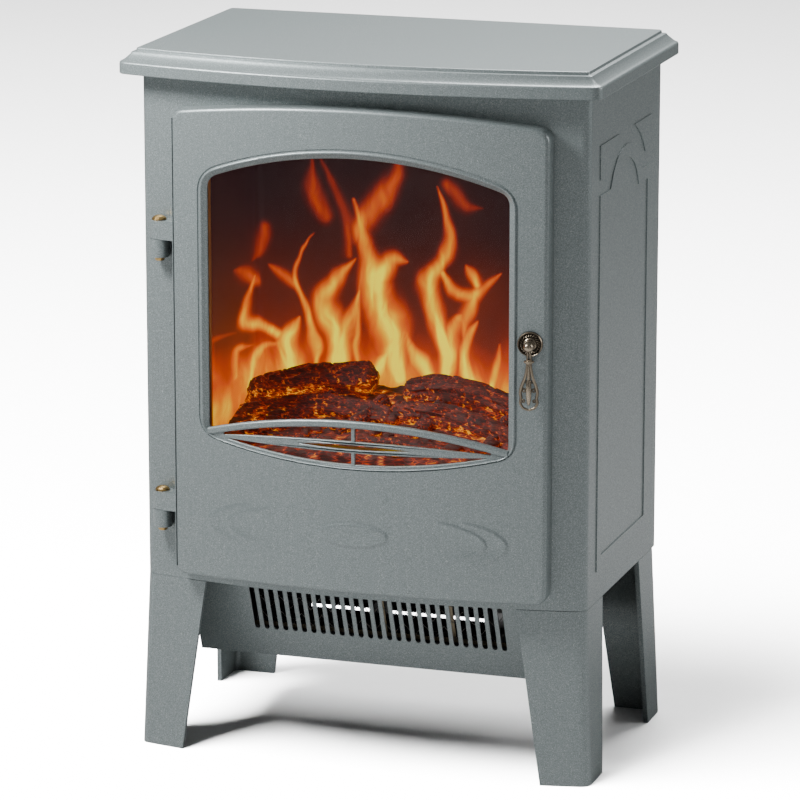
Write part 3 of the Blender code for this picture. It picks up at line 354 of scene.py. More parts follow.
paint = stovePaint()
finishes = {
    "painted_steel": paint,
    "painted_moulding": paint,
    "dark_sheet": sheetMetal("darkSheet", (0.018, 0.019, 0.021), (0.055, 0.057, 0.060), 0.35, 0.50),
    "plain_steel": sheetMetal("plainSteel", (0.34, 0.34, 0.35), (0.58, 0.58, 0.57), 0.95, 0.32),
    "old_brass": oldBrass(),
    "pin_brass": pinBrass(),
    "black_plastic": mouldedPlastic("blackPlastic", (0.010, 0.010, 0.011), (0.028, 0.028, 0.030), 0.42),
    "window_glass": windowGlass(),
    "log_moulding": charredLog(),
    "flame_plastic": mouldedPlastic("flamePlastic", (0.50, 0.20, 0.07), (0.66, 0.34, 0.14), 0.50),
    "mica": mouldedPlastic("mica", (0.30, 0.24, 0.15), (0.56, 0.47, 0.32), 0.45),
    "heater_alloy": sheetMetal("heaterAlloy", (0.26, 0.24, 0.23), (0.60, 0.58, 0.55), 0.9, 0.34),
    "mirror_foil": sheetMetal("mirrorFoil", (0.66, 0.66, 0.67), (0.84, 0.84, 0.85), 1.0, 0.16),
    "board": circuitBoard(),
}
flamePrintFinish = flamePrint()

for part in frame["record"]["subparts"]:
    slots = nodes[part["node"]].data.materials
    slots.clear()
    slots.append(finishes[part["material_slot"]])
print("finishes made:", len(finishes) + 1)


# making and placing pieces


def place(name, shape, finish, body, stands=(), slot=None, smooth=35, evened=False):
    mesh = bpy.data.meshes.new(name)
    shape.to_mesh(mesh)
    shape.free()
    mesh.materials.append(finish)
    mesh.shade_smooth()
    mesh.set_sharp_from_angle(angle=math.radians(smooth))
    piece = bpy.data.objects.new(name, mesh)
    bpy.context.scene.collection.objects.link(piece)
    if evened:
        even = piece.modifiers.new("evenNormals", "WEIGHTED_NORMAL")
        even.keep_sharp = True
        even.weight = 50
    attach(piece, body)
    if stands:
        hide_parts(*stands)
    return piece


def cadCopy(node):
    shape = bmesh.new()
    shape.from_mesh(nodes[node].data)
    bmesh.ops.remove_doubles(shape, verts=shape.verts, dist=1e-6)
    bmesh.ops.dissolve_limit(
        shape, angle_limit=math.radians(0.05), verts=shape.verts, edges=shape.edges
    )
    return shape


def cornersOver(shape, degrees, wanted=lambda edge: True):
    limit = math.radians(degrees)
    return [
        edge
        for edge in shape.edges
        if len(edge.link_faces) == 2 and edge.calc_face_angle(0.0) > limit and wanted(edge)
    ]


def soften(shape, edges, width, segments=2):
    bmesh.ops.bevel(
        shape,
        geom=edges,
        offset=width,
        offset_type="OFFSET",
        affect="EDGES",
        segments=segments,
        profile=0.5,
        material=-1,
        clamp_overlap=True,
        loop_slide=True,
    )


def addRing(shape, points):
    verts = [shape.verts.new(point) for point in points]
    return [shape.edges.new((a, b)) for a, b in zip(verts, verts[1:] + verts[:1])]


def bridge(shape, rings):
    for first, second in zip(rings, rings[1:]):
        bmesh.ops.bridge_loops(shape, edges=first + second)


def cap(shape, ring):
    bmesh.ops.contextual_create(shape, geom=ring)


def tubeAlong(shape, points, radii, sides=10):
    # a round rod through points, each with its own radius
    rings = []
    for number, (point, radius) in enumerate(zip(points, radii)):
        before = Vector(points[max(number - 1, 0)])
        after = Vector(points[min(number + 1, len(points) - 1)])
        turn = (after - before).to_track_quat("Z", "Y").to_matrix().to_4x4()
        made = bmesh.ops.create_circle(
            shape, segments=sides, radius=radius, matrix=Matrix.Translation(point) @ turn
        )
        edges = {edge for vert in made["verts"] for edge in vert.link_edges}
        rings.append(list(edges))
    bridge(shape, rings)
    cap(shape, rings[0])
    cap(shape, rings[-1])


def smoothPath(points, steps):
    # points along a smooth line through the given ones
    line = [Vector(point) for point in points]
    line = [2 * line[0] - line[1]] + line + [2 * line[-1] - line[-2]]
    made = []
    for a, b, c, d in zip(line, line[1:], line[2:], line[3:]):
        for step in range(steps):
            t = step / steps
            made.append(
                0.5 * (2 * b + (c - a) * t + (2 * a - 5 * b + 4 * c - d) * t**2
                       + (3 * b - a - 3 * c + d) * t**3)
            )
    made.append(line[-2])
    return made


# camera

view = {
    "azimuth": 18.21,  # degrees round from straight in front, to the right
    "elevation": 13.63,
    "distance": 3.8377,
    "lens": 207.58,
    "aim": (0.0400, -0.1170, 0.3273),
}


def placeCamera():
    azimuth = math.radians(view["azimuth"])
    elevation = math.radians(view["elevation"])
    level = math.cos(elevation)
    back = Vector((math.sin(azimuth) * level, -math.cos(azimuth) * level, math.sin(elevation)))
    camera = bpy.data.objects.new("camera", bpy.data.cameras.new("camera"))
    camera.data.lens = view["lens"]
    camera.data.sensor_width = 36.0
    camera.data.clip_end = 60.0
    camera.location = Vector(view["aim"]) + back * view["distance"]
    camera.rotation_euler = back.to_track_quat("Z", "Y").to_euler()
    bpy.context.scene.collection.objects.link(camera)
    bpy.context.scene.camera = camera


placeCamera()

# door

door = {
    "width": 0.328,
    "foot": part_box("door")[0].z,
    "height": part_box("door")[1].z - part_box("door")[0].z,
    "rise": 0.0115,
    "corner": 0.011,
    "ahead": 0.0163,  # of the casing's front
    "skin": 0.004,
    "rim": 0.003,
    "fillet": 0.0034,
    "rows": 84,
    "counts": {"foot": 270, "corner": 8, "side": 70, "head": 120},
}
window = {
    "half": 0.1315,
    "crown": 0.3703,  # heights are above the foot of the door
    "rise": 0.0249,
    "foot": 0.1110,
    "footRise": 0.0167,
    "corner": 0.0085,
    "footShare": 0.45,  # the moulding is narrower along the foot
}
moulding = (
    # how far outside the glass, and how far ahead of the door's face
    (0.0086, 0.0),
    (0.0083, -0.0003),
    (0.0080, -0.0009),
    (0.0072, -0.0010),
    (0.0067, -0.0004),
    (0.0062, 0.0003),
    (0.0055, 0.0006),
    (0.0048, 0.0004),
    (0.0041, -0.0003),
    (0.0030, -0.0013),
    (0.0014, -0.0027),
    (0.0004, -0.0034),
    (0.0000, -0.0040),
)
relief = {
    "ovalHalf": 0.0318,
    "ovalTall": 0.0111,
    "ovalHeight": 0.0511,
    "rise": 0.0011,
    "slope": 0.0024,
    "fade": 0.0055,
    "gather": 0.004,  # how far out from its tips a sickle takes to reach full height
    "round": 0.72,
    # reach of the bulge, where both tips lie, and their heights
    "sickles": ((0.1333, 0.094, 0.0700, 0.0300), (0.1156, 0.074, 0.0690, 0.0310)),
}


def frameLine(half, low, high, corner, counts):
    # an outline round x = 0 with eased corners, from the foot's left end
    def corners(start, turn, end):
        steps = counts["corner"]
        line = []
        for step in range(steps):
            t = step / steps
            line.append(tuple(
                (1 - t) ** 2 * a + 2 * t * (1 - t) * b + t**2 * c for a, b, c in zip(start, turn, end)
            ))
        return line

    def along(start, end, steps):
        return [(
            start[0] + (end[0] - start[0]) * step / steps,
            start[1] + (end[1] - start[1]) * step / steps,
        ) for step in range(steps)]

    inner = half - corner
    line = [(x, low(x)) for x, _ in along((-inner, 0), (inner, 0), counts["foot"])]
    line += corners((inner, low(inner)), (half, low(half)), (half, low(half) + corner))
    line += along((half, low(half) + corner), (half, high(half) - corner), counts["side"])
    line += corners((half, high(half) - corner), (half, high(half)), (inner, high(inner)))
    line += [(x, high(x)) for x, _ in along((inner, 0), (-inner, 0), counts["head"])]
    line += corners((-inner, high(inner)), (-half, high(half)), (-half, high(half) - corner))
    line += along((-half, high(half) - corner), (-half, low(half) + corner), counts["side"])
    line += corners((-half, low(half) + corner), (-half, low(half)), (-inner, low(inner)))
    return line


def doorLine(inset):
    half = door["width"] / 2

    def high(x):
        return door["height"] - inset - arcDrop(door["rise"], half, x)

    corner = max(door["corner"] - inset, 0.004)
    return frameLine(half - inset, lambda _: inset, high, corner, door["counts"])


def windowLine(grow):
    half = window["half"]
    low = window["foot"] - grow * window["footShare"]

    def foot(x):
        return low + arcDrop(window["footRise"], half, x)

    def head(x):
        return window["crown"] + grow - arcDrop(window["rise"], half, x)

    return frameLine(half + grow, foot, head, window["corner"] + grow, door["counts"])


def onDoor(line, ahead):
    # points of a line on the door, a distance ahead of its face
    made = []
    for x, height in line:
        across = x + stove["middle"]
        made.append((across, bowY(across, door["ahead"] + ahead), height + door["foot"]))
    return made


def reliefAt(x, height):
    # how far the oval and the sickles stand out at a point of the face
    a, b = relief["ovalHalf"], relief["ovalTall"]
    up = height - relief["ovalHeight"]
    reach = math.hypot(x / a, up / b)
    steep = math.hypot(x / a**2, up / b**2) / max(reach, 1e-6)
    raised = relief["rise"] * eased((1 - reach) / max(steep, 1e-6), 0.0, relief["slope"])
    for far, near, top, foot in relief["sickles"]:
        half = (top - foot) / 2
        along = (height - (top + foot) / 2) / half
        if abs(along) < 1:
            arc = 1 - along**2
            edge = near + (far - near) * arc ** relief["round"]
            slant = 2 * (far - near) * relief["round"] * along * arc ** (relief["round"] - 1) / half
            inside = (edge - abs(x)) / math.hypot(1, slant)
            share = eased(inside, 0.0, relief["slope"]) * eased(
                abs(x), near - relief["gather"], near + relief["gather"])
            fading = math.exp(-max(inside - relief["slope"], 0.0) / relief["fade"])
            raised = max(raised, relief["rise"] * share * fading * (1 - along**4))
    return raised


def makeDoor():
    shape = bmesh.new()
    rim = door["rim"]
    thick = door["ahead"] - stove["gap"]
    fillet = door["fillet"]
    rings = [onDoor(doorLine(rim), -thick), onDoor(doorLine(0.0004), -thick)]
    rings.append(onDoor(doorLine(0.0), 0.0004 - thick))
    for step in range(6):
        angle = math.pi / 2 * step / 5
        inset = fillet * (1 - math.cos(angle))
        rings.append(onDoor(doorLine(inset), -fillet * (1 - math.sin(angle))))
    outer, inner = doorLine(fillet), windowLine(moulding[0][0])
    for row in range(1, door["rows"]):
        share = row / door["rows"]
        line = [
            (a * (1 - share) + c * share, b * (1 - share) + d * share)
            for (a, b), (c, d) in zip(outer, inner)
        ]
        face = onDoor(line, 0.0)
        rings.append([(x, y - reliefAt(*spot), z) for (x, y, z), spot in zip(face, line)])
    for grow, ahead in moulding:
        rings.append(onDoor(windowLine(grow), ahead))
    rings.append(onDoor(doorLine(rim), -door["skin"]))
    rings.append(rings[0])
    made = [addRing(shape, ring) for ring in rings[:-1]]
    bridge(shape, made + [made[0]])
    bmesh.ops.recalc_face_normals(shape, faces=shape.faces)
    return shape


def hingeArms():
    # the two knuckles with the arms that run flush into the door's face
    shape = cadCopy("door")
    edge = stove["middle"] - door["width"] / 2 + 0.0006
    bmesh.ops.bisect_plane(
        shape,
        geom=shape.verts[:] + shape.edges[:] + shape.faces[:],
        plane_co=(edge, 0, 0),
        plane_no=(1, 0, 0),
        clear_outer=True,
    )
    openEdges = [e for e in shape.edges if e.is_boundary]
    bmesh.ops.holes_fill(shape, edges=openEdges)
    soften(shape, cornersOver(
        shape, 50, lambda e: e.verts[0].co.x < edge - 0.001 and e.verts[1].co.x < edge - 0.001), 0.0007)
    return shape


place("doorPanel", makeDoor(), finishes["painted_moulding"], "door", ["door"], "painted_moulding", 40)
place("doorHinges", hingeArms(), finishes["painted_moulding"], "door", [], "painted_moulding", 35, True)

grille = {
    "recess": 0.0012,
    "barCrown": 0.1495,
    "barRise": 0.0175,
    "barThick": 0.0065,
    "barProud": 0.0009,
    "eyeHalf": 0.1225,
    "eyeRise": 0.0145,
    "eyeFoot": 0.1105,
    "browHalf": 0.1175,
    "middleTop": 0.1315,
    "middleFoot": 0.1215,
    "middleRise": 0.0045,
    "lensHalf": 0.048,
    "lensTall": 0.0019,
    "strutHalf": 0.0016,
    "round": 0.0008,
}


def barTop(x):
    return grille["barCrown"] - arcDrop(grille["barRise"], window["half"], x)


def barUnder(x):
    return grille["barCrown"] - grille["barThick"] - arcDrop(grille["eyeRise"], grille["eyeHalf"], x)


def grilleGaps():
    # upper line, lower line and both ends of every gap between the bars
    eye = grille["eyeHalf"]

    def middleTop(x):
        return grille["middleTop"] - arcDrop(grille["middleRise"], eye, x)

    def middleUnder(x):
        return grille["middleFoot"] + arcDrop(grille["middleRise"] * 0.7, eye, x)

    def eyeLow(x):
        return grille["eyeFoot"] + 0.0012 + arcDrop(grille["eyeRise"], eye, x)

    lensHeight = (grille["middleTop"] + grille["middleFoot"]) / 2

    def lens(way):
        return lambda x: lensHeight + way * grille["lensTall"] * (1 - (x / grille["lensHalf"]) ** 2)

    gaps = [(lens(1), lens(-1), -grille["lensHalf"], grille["lensHalf"])]
    for side in (-1, 1):
        ends = sorted((side * grille["strutHalf"], side * grille["browHalf"]))
        gaps.append((barUnder, middleTop, *ends))
        ends = sorted((side * grille["strutHalf"], side * (grille["browHalf"] - 0.004)))
        gaps.append((middleUnder, eyeLow, *ends))
    return gaps


def gapLine(gap, grow, steps=44):
    upper, lower, start, end = gap
    line = []
    for step in range(steps + 1):
        x = start + (end - start) * step / steps
        shifted = x + grow * (2 * step / steps - 1)
        line.append((shifted, max(upper(x), lower(x) + 0.0002) + grow))
    for step in range(steps + 1):
        x = end + (start - end) * step / steps
        shifted = x - grow * (2 * step / steps - 1)
        line.append((shifted, min(lower(x), upper(x) - 0.0002) - grow))
    return line


def makeGrille():
    shape = bmesh.new()
    tuck = 0.0012
    half = window["half"] + tuck
    steps = 90
    line = []
    for step in range(steps + 1):
        x = -half + 2 * half * step / steps
        line.append((x, window["foot"] - tuck + arcDrop(window["footRise"], window["half"], x)))
    for step in range(steps + 1):
        x = half - 2 * half * step / steps
        line.append((x, barTop(x) - grille["barThick"] * 0.45))
    faceAhead = -grille["recess"]
    backAhead = -door["skin"]
    front = [addRing(shape, onDoor(line, faceAhead))]
    back = [addRing(shape, onDoor(line, backAhead))]
    bridge(shape, [front[0], back[0]])
    for gap in grilleGaps():
        rings = []
        rounding = grille["round"]
        for turn in (90, 60, 30, 0):
            angle = math.radians(turn)
            grow = rounding * (1 - math.cos(angle))
            ahead = faceAhead - rounding * (1 - math.sin(angle))
            rings.append(addRing(shape, onDoor(gapLine(gap, grow), ahead)))
        rings.append(addRing(shape, onDoor(gapLine(gap, 0.0), backAhead)))
        bridge(shape, rings)
        front.append(rings[0])
        back.append(rings[-1])
    for sheet in (front, back):
        edges = [edge for ring in sheet for edge in ring]
        bmesh.ops.triangle_fill(shape, edges=edges, use_beauty=True, use_dissolve=False, normal=(0, 1, 0))
    bmesh.ops.recalc_face_normals(shape, faces=shape.faces)
    return shape


def makeGrilleBar():
    # the rounded bar that arches over the grille
    shape = bmesh.new()
    rings = []
    stations = 72
    half = window["half"] + 0.0006
    sides = 20
    for station in range(stations + 1):
        x = -half + 2 * half * station / stations
        middle = barTop(x) - grille["barThick"] / 2
        line = []
        for side in range(sides):
            angle = math.tau * side / sides
            up = math.sin(angle)
            out = math.cos(angle)
            tall = grille["barThick"] / 2 * math.copysign(abs(up) ** 0.8, up)
            deep = 0.0026 * math.copysign(abs(out) ** 0.8, out)
            across = x + stove["middle"]
            line.append((
                across,
                bowY(across, door["ahead"] + grille["barProud"] - 0.0026 + deep),
                middle + tall + door["foot"],
            ))
        rings.append(addRing(shape, line))
    bridge(shape, rings)
    cap(shape, rings[0])
    cap(shape, rings[-1])
    bmesh.ops.recalc_face_normals(shape, faces=shape.faces)
    return shape


place("grillePlate", makeGrille(), finishes["painted_moulding"], "door", [], "painted_moulding", 40)
place("grilleBar", makeGrilleBar(), finishes["painted_moulding"], "door", [], "painted_moulding", 60)
print("door made")

# top slab

slab = {
    "width": 0.420,
    "lip": 0.022,  # ahead of the casing's front
    "depth": 0.278,
    "corner": 0.010,
    "foot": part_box("top_slab")[0].z,
    "steps": 64,
    "hollowInset": 0.024,
    "skin": 0.004,
    # inset and height of each point of the moulded edge
    "edge": (
        (0.0000, 0.0006), (0.0000, 0.0086), (0.0003, 0.0096), (0.0010, 0.0104), (0.0020, 0.0108),
        (0.0026, 0.0110), (0.0036, 0.0116), (0.0050, 0.0126), (0.0064, 0.0138), (0.0078, 0.0151),
        (0.0090, 0.0164), (0.0097, 0.0176), (0.0101, 0.0180), (0.0112, 0.0182), (0.0124, 0.0184),
        (0.0130, 0.0187), (0.0132, 0.0193), (0.0132, 0.0202), (0.0135, 0.0209), (0.0142, 0.0212),
    ),
}


def slabLine(inset):
    half = slab["width"] / 2 - inset
    corner = max(slab["corner"] - inset, 0.003)
    radius = stove["bowRadius"] + slab["lip"] - inset
    centre = stove["front"] + stove["bowRadius"]
    cornerX = half - corner
    cornerY = centre - math.sqrt((radius - corner) ** 2 - cornerX**2)
    turn = math.atan2(centre - cornerY, cornerX)
    right = []
    for step in range(9):
        angle = turn * step / 8
        right.append((cornerX + corner * math.cos(angle), cornerY - corner * math.sin(angle)))
    reach = math.pi / 2 - turn
    middle = []
    for step in range(1, slab["steps"]):
        angle = reach * (1 - 2 * step / slab["steps"])
        middle.append((radius * math.sin(angle), centre - radius * math.cos(angle)))
    rear = slab["depth"] / 2 - inset
    back = []
    for step in range(9):
        angle = math.pi / 2 * step / 8
        back.append((half - corner + corner * math.sin(angle), rear - corner + corner * math.cos(angle)))
    line = back + right + middle
    mirrored = [(-x, y) for x, y in reversed(right)] + [(-x, y) for x, y in reversed(back)]
    return line + mirrored


def makeSlab():
    shape = bmesh.new()
    foot = slab["foot"]
    inset = slab["hollowInset"]
    ceiling = 0.0212 - slab["skin"]
    levels = [(inset, ceiling), (inset, 0.0), (0.0006, 0.0), *slab["edge"]]
    rings = []
    for inward, height in levels:
        rings.append(addRing(shape, [(x, y, foot + height) for x, y in slabLine(inward)]))
    bridge(shape, rings)
    cap(shape, rings[0])
    cap(shape, rings[-1])
    bmesh.ops.recalc_face_normals(shape, faces=shape.faces)
    return shape


place(
    "topSlab", makeSlab(), finishes["painted_moulding"], "stove", ["top_slab"], "painted_moulding", 30, True)

# casing, legs and vent, each with its edges eased


def makeCasing():
    shape = cadCopy("casing")
    soften(shape, cornersOver(shape, 50), 0.00035)
    return shape


def makeLeg(node):
    shape = cadCopy(node)
    soften(shape, cornersOver(shape, 50, lambda e: e.calc_length() > 0.004), 0.0009, 3)
    return shape


def makeVent():
    shape = cadCopy("vent_panel")
    soften(shape, cornersOver(shape, 50), 0.00025)
    return shape


place("casingShell", makeCasing(), finishes["painted_steel"], "stove", ["casing"], "painted_steel", 30, True)
place("ventPanel", makeVent(), finishes["painted_steel"], "stove", ["vent_panel"], "painted_steel", 30, True)
for corner in ("front_left", "front_right", "rear_left", "rear_right"):
    name = "leg" + corner.title().replace("_", "")
    place(
        name, makeLeg("leg_" + corner), finishes["painted_moulding"], "stove", ["leg_" + corner],
        "painted_moulding", 30, True)
print("body made")

# handle: a rosette and ball stud on the door, and the drop that swings on the stud

handle = {
    "inset": 0.0139,  # from the door's right edge
    "height": 0.2235,
    "dropStand": 0.0078,
    "ballStand": 0.0128,
    "ballRadius": 0.0042,
    # radius, stand and how deep the beading is at that radius
    "rosette": (
        (0.0010, 0.0026, 0), (0.0036, 0.0027, 0), (0.0044, 0.0034, 0), (0.0051, 0.0031, 0),
        (0.0055, 0.0020, 0), (0.0059, 0.0018, 0.2), (0.0065, 0.0022, 0.7), (0.0072, 0.0024, 1),
        (0.0079, 0.0022, 0.7), (0.0085, 0.0017, 0.2), (0.0089, 0.0017, 0), (0.0093, 0.0027, 0),
        (0.0099, 0.0030, 0), (0.0104, 0.0024, 0), (0.0106, 0.0012, 0), (0.0105, 0.0002, 0),
    ),
    "beads": 22,
    "beadRise": 0.0007,
}


def handlePlace():
    x = stove["middle"] + door["width"] / 2 - handle["inset"]
    y = bowY(x, door["ahead"])
    outward = Vector((x, y - stove["front"] - stove["bowRadius"], 0)).normalized()
    turn = Matrix.Rotation(math.atan2(outward.x, -outward.y), 4, "Z")
    return Matrix.Translation((x, y, door["foot"] + handle["height"])) @ turn


def markCrest(shape, low, high):
    # notes how far each point stands out, for the rubbed finish
    layer = shape.verts.layers.float.new("crest")
    for vert in shape.verts:
        vert[layer] = min(max((-vert.co.y - low) / (high - low), 0.0), 1.0)


def makeRosette():
    shape = bmesh.new()
    rings = []
    points = handle["beads"] * 8
    for radius, stand, depth in handle["rosette"]:
        line = []
        for step in range(points):
            angle = math.tau * step / points
            wave = math.cos(angle * handle["beads"] + radius * 2400)
            lift = handle["beadRise"] * depth * wave
            line.append((radius * math.cos(angle), -(stand + lift), radius * math.sin(angle)))
        rings.append(addRing(shape, line))
    bridge(shape, rings)
    cap(shape, rings[0])
    cap(shape, rings[-1])
    bmesh.ops.recalc_face_normals(shape, faces=shape.faces)
    markCrest(shape, 0.0012, 0.0031)
    return shape


def makeStud():
    shape = bmesh.new()
    stand, ball = handle["ballStand"], handle["ballRadius"]
    profile = [(0.0019, 0.0102), (0.0019, -0.0060), (0.0030, -0.0064), (0.0030, -0.0076), (0.0024, -0.0082)]
    for step in range(9):
        angle = -math.pi / 3 + math.pi * 5 / 6 * step / 8
        radius = max(ball * math.cos(angle), 0.0002)
        profile.append((radius, -(stand + ball * math.sin(angle))))
    rings = []
    for radius, y in profile:
        turned = [math.tau * step / 40 for step in range(40)]
        rings.append(addRing(shape, [(radius * math.cos(a), y, radius * math.sin(a)) for a in turned]))
    bridge(shape, rings)
    cap(shape, rings[0])
    cap(shape, rings[-1])
    bmesh.ops.recalc_face_normals(shape, faces=shape.faces)
    markCrest(shape, 0.004, 0.016)
    return shape


def scroll(centre, start, turns, wide, narrow, way):
    # a flat spiral that winds in to its centre
    points = []
    steps = int(26 * turns)
    for step in range(steps + 1):
        share = step / steps
        angle = start + way * math.tau * turns * share
        radius = wide + (narrow - wide) * share
        points.append((centre[0] + radius * math.cos(angle), centre[1], centre[2] + radius * math.sin(angle)))
    return points


def makeDrop():
    shape = bmesh.new()
    eye = [(0.0037 * math.cos(a), 0.0, 0.0037 * math.sin(a)) for a in [math.tau * n / 40 for n in range(41)]]
    tubeAlong(shape, eye, [0.0011] * 41)
    for side in (-1, 1):
        strand = smoothPath([
            (side * 0.0016, 0, -0.0034), (side * 0.0010, -0.0004, -0.0070), (side * 0.0014, 0, -0.0116),
        ], 6)
        tubeAlong(shape, strand, [0.0010] * len(strand))
        rail = smoothPath([
            (side * 0.0013, -0.0004, -0.0142), (side * 0.0019, -0.0006, -0.0200),
            (side * 0.0032, -0.0006, -0.0268),
            (side * 0.0058, -0.0004, -0.0335), (side * 0.0071, -0.0002, -0.0392), (side * 0.0064, 0, -0.0440),
            (side * 0.0070, -0.0002, -0.0482), (side * 0.0046, -0.0004, -0.0522), (0, -0.0006, -0.0540),
        ], 8)
        widths = [0.0010 + 0.0003 * math.sin(math.pi * n / (len(rail) - 1)) for n in range(len(rail))]
        tubeAlong(shape, rail, widths)
        for centre, start, turns, wide, way in (
            ((side * 0.0043, -0.0004, -0.0376), 0.0, 1.3, 0.0021, 1),
            ((side * 0.0046, -0.0004, -0.0462), 0.6, 1.2, 0.0017, -1),
            ((side * 0.0024, -0.0002, -0.0305), 1.2, 0.8, 0.0011, 1),
        ):
            angle = start if side > 0 else math.pi - start
            coil = scroll(centre, angle, turns, wide, 0.0005, way * side)
            tubeAlong(shape, coil, [0.00062] * len(coil), 8)
    stem = smoothPath([(0, -0.0006, -0.0142), (0, -0.0009, -0.0210), (0, -0.0010, -0.0280)], 8)
    tubeAlong(shape, stem, [0.0011 + 0.0004 * n / len(stem) for n in range(len(stem))])
    tongue = smoothPath([
        (0, -0.0006, -0.0262), (0, -0.0012, -0.0330), (0, -0.0012, -0.0420), (0, -0.0006, -0.0500),
    ], 8)
    swell = [0.0007 + 0.0017 * math.sin(math.pi * n / (len(tongue) - 1)) ** 0.7 for n in range(len(tongue))]
    tubeAlong(shape, tongue, swell, 14)
    for height, radius, thick in (
            (-0.0122, 0.0028, 0.0007), (-0.0132, 0.0043, 0.0008), (-0.0142, 0.0030, 0.0007)):
        disc = [
            (0, 0, height + thick), (0, 0, height + thick * 0.6),
            (0, 0, height - thick * 0.6), (0, 0, height - thick),
        ]
        tubeAlong(shape, disc, [radius * 0.8, radius, radius, radius * 0.8], 24)
    bmesh.ops.recalc_face_normals(shape, faces=shape.faces)
    markCrest(shape, -0.0006, 0.0020)
    return shape


def placeHandle():
    at = handlePlace()
    hang = at @ Matrix.Translation((0, -handle["dropStand"], 0))
    for name, shape, matrix, body, node in (
        ("handleRosette", makeRosette(), at, "door", "handle_rosette"),
        ("handleStud", makeStud(), at, "door", "handle_stud"),
        ("handleDrop", makeDrop(), hang, "handle_drop", "handle_drop"),
    ):
        shape.transform(matrix)
        place(name, shape, finishes["old_brass"], body, [node], "old_brass", 50)


placeHandle()
print("handle made")

# flame picture: a bent sheet inside the screen, lit by tongues that are drawn as strokes

flame = {
    "half": 0.1429,  # the screen's flat part each side of the middle
    "wing": 0.1180,  # how far it runs forward along each side
    "wingShare": 0.34,  # the picture is drawn this much tighter on the wings
    "face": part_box("firebox_liner")[1].y,
    "low": 0.2565,
    "high": 0.5455,
    "pitch": 0.0011,
    "sway": 0.0042,
    "fullness": 1.3,
    "cooling": 0.42,  # how much dimmer a tip is than its root
}
# each tongue: widest half width in millimetres, heat, then its path from root to tip,
# across from the middle and up from the firebox floor in millimetres
tongues = (
    (13, 0.98, (-14, 58), (-20, 98), (-34, 130), (-40, 160), (-56, 208)),
    (9, 0.56, (-52, 182), (-32, 206), (-18, 230), (-16, 250)),
    (8, 0.86, (-34, 134), (-22, 158), (-4, 158)),
    (10, 0.96, (-72, 46), (-72, 90), (-82, 118), (-70, 142), (-54, 160)),
    (9, 0.96, (-64, 54), (-62, 90), (-48, 128)),
    (9, 1.02, (-114, 50), (-113, 80), (-106, 104)),
    (4, 0.80, (-88, 58), (-94, 96), (-106, 136), (-92, 176)),
    (5, 0.86, (-122, 84), (-154, 98), (-156, 118), (-146, 136)),
    (5, 0.80, (-156, 42), (-144, 70), (-120, 78)),
    (4, 0.72, (-166, 60), (-164, 80), (-150, 76)),
    (4, 0.42, (-182, 72), (-182, 102), (-164, 96)),
    (5, 0.42, (-146, 130), (-156, 148), (-164, 156)),
    (5, 0.38, (-138, 180), (-142, 160), (-148, 152)),
    (5, 0.54, (-108, 132), (-132, 146)),
    (6, 0.38, (-82, 190), (-91, 220), (-92, 243)),
    (5, 0.36, (-62, 164), (-66, 200), (-84, 248)),
    (8, 0.96, (26, 80), (20, 112), (12, 140), (32, 178), (20, 222)),
    (5, 0.76, (24, 148), (38, 130), (52, 132), (66, 144), (76, 152)),
    (5, 0.78, (56, 142), (46, 160)),
    (4, 0.74, (54, 134), (46, 106), (44, 86)),
    (9, 0.95, (28, 48), (30, 86), (44, 112)),
    (7, 1.02, (60, 42), (46, 78), (56, 114)),
    (6, 0.92, (14, 48), (4, 76), (-8, 98)),
    (5, 0.90, (-36, 52), (-30, 72), (-16, 92)),
    (4, 0.88, (68, 46), (74, 72), (78, 92)),
    (4, 0.66, (-48, 66), (-50, 102), (-46, 148)),
    (6, 0.38, (30, 224), (46, 210), (64, 212)),
    (4, 0.60, (84, 42), (88, 68), (94, 82)),
    (7, 0.80, (112, 46), (104, 82), (114, 122)),
    (6, 0.62, (130, 50), (126, 88), (138, 118)),
)


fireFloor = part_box("firebox_liner")[0].z


def latticeNoise(across, height, cell, seed):
    # smooth noise from a seeded lattice, about -1 to 1
    lattice = np.random.RandomState(seed).rand(90, 90) * 2 - 1
    a, b = (across + 1.0) / cell, (height + 0.1) / cell
    column, row = np.floor(a).astype(int), np.floor(b).astype(int)
    right, up = a - column, b - row
    right, up = right * right * (3 - 2 * right), up * up * (3 - 2 * up)
    column, row = column % 89, row % 89
    low = lattice[row, column] * (1 - right) + lattice[row, column + 1] * right
    top = lattice[row + 1, column] * (1 - right) + lattice[row + 1, column + 1] * right
    return low * (1 - up) + top * up


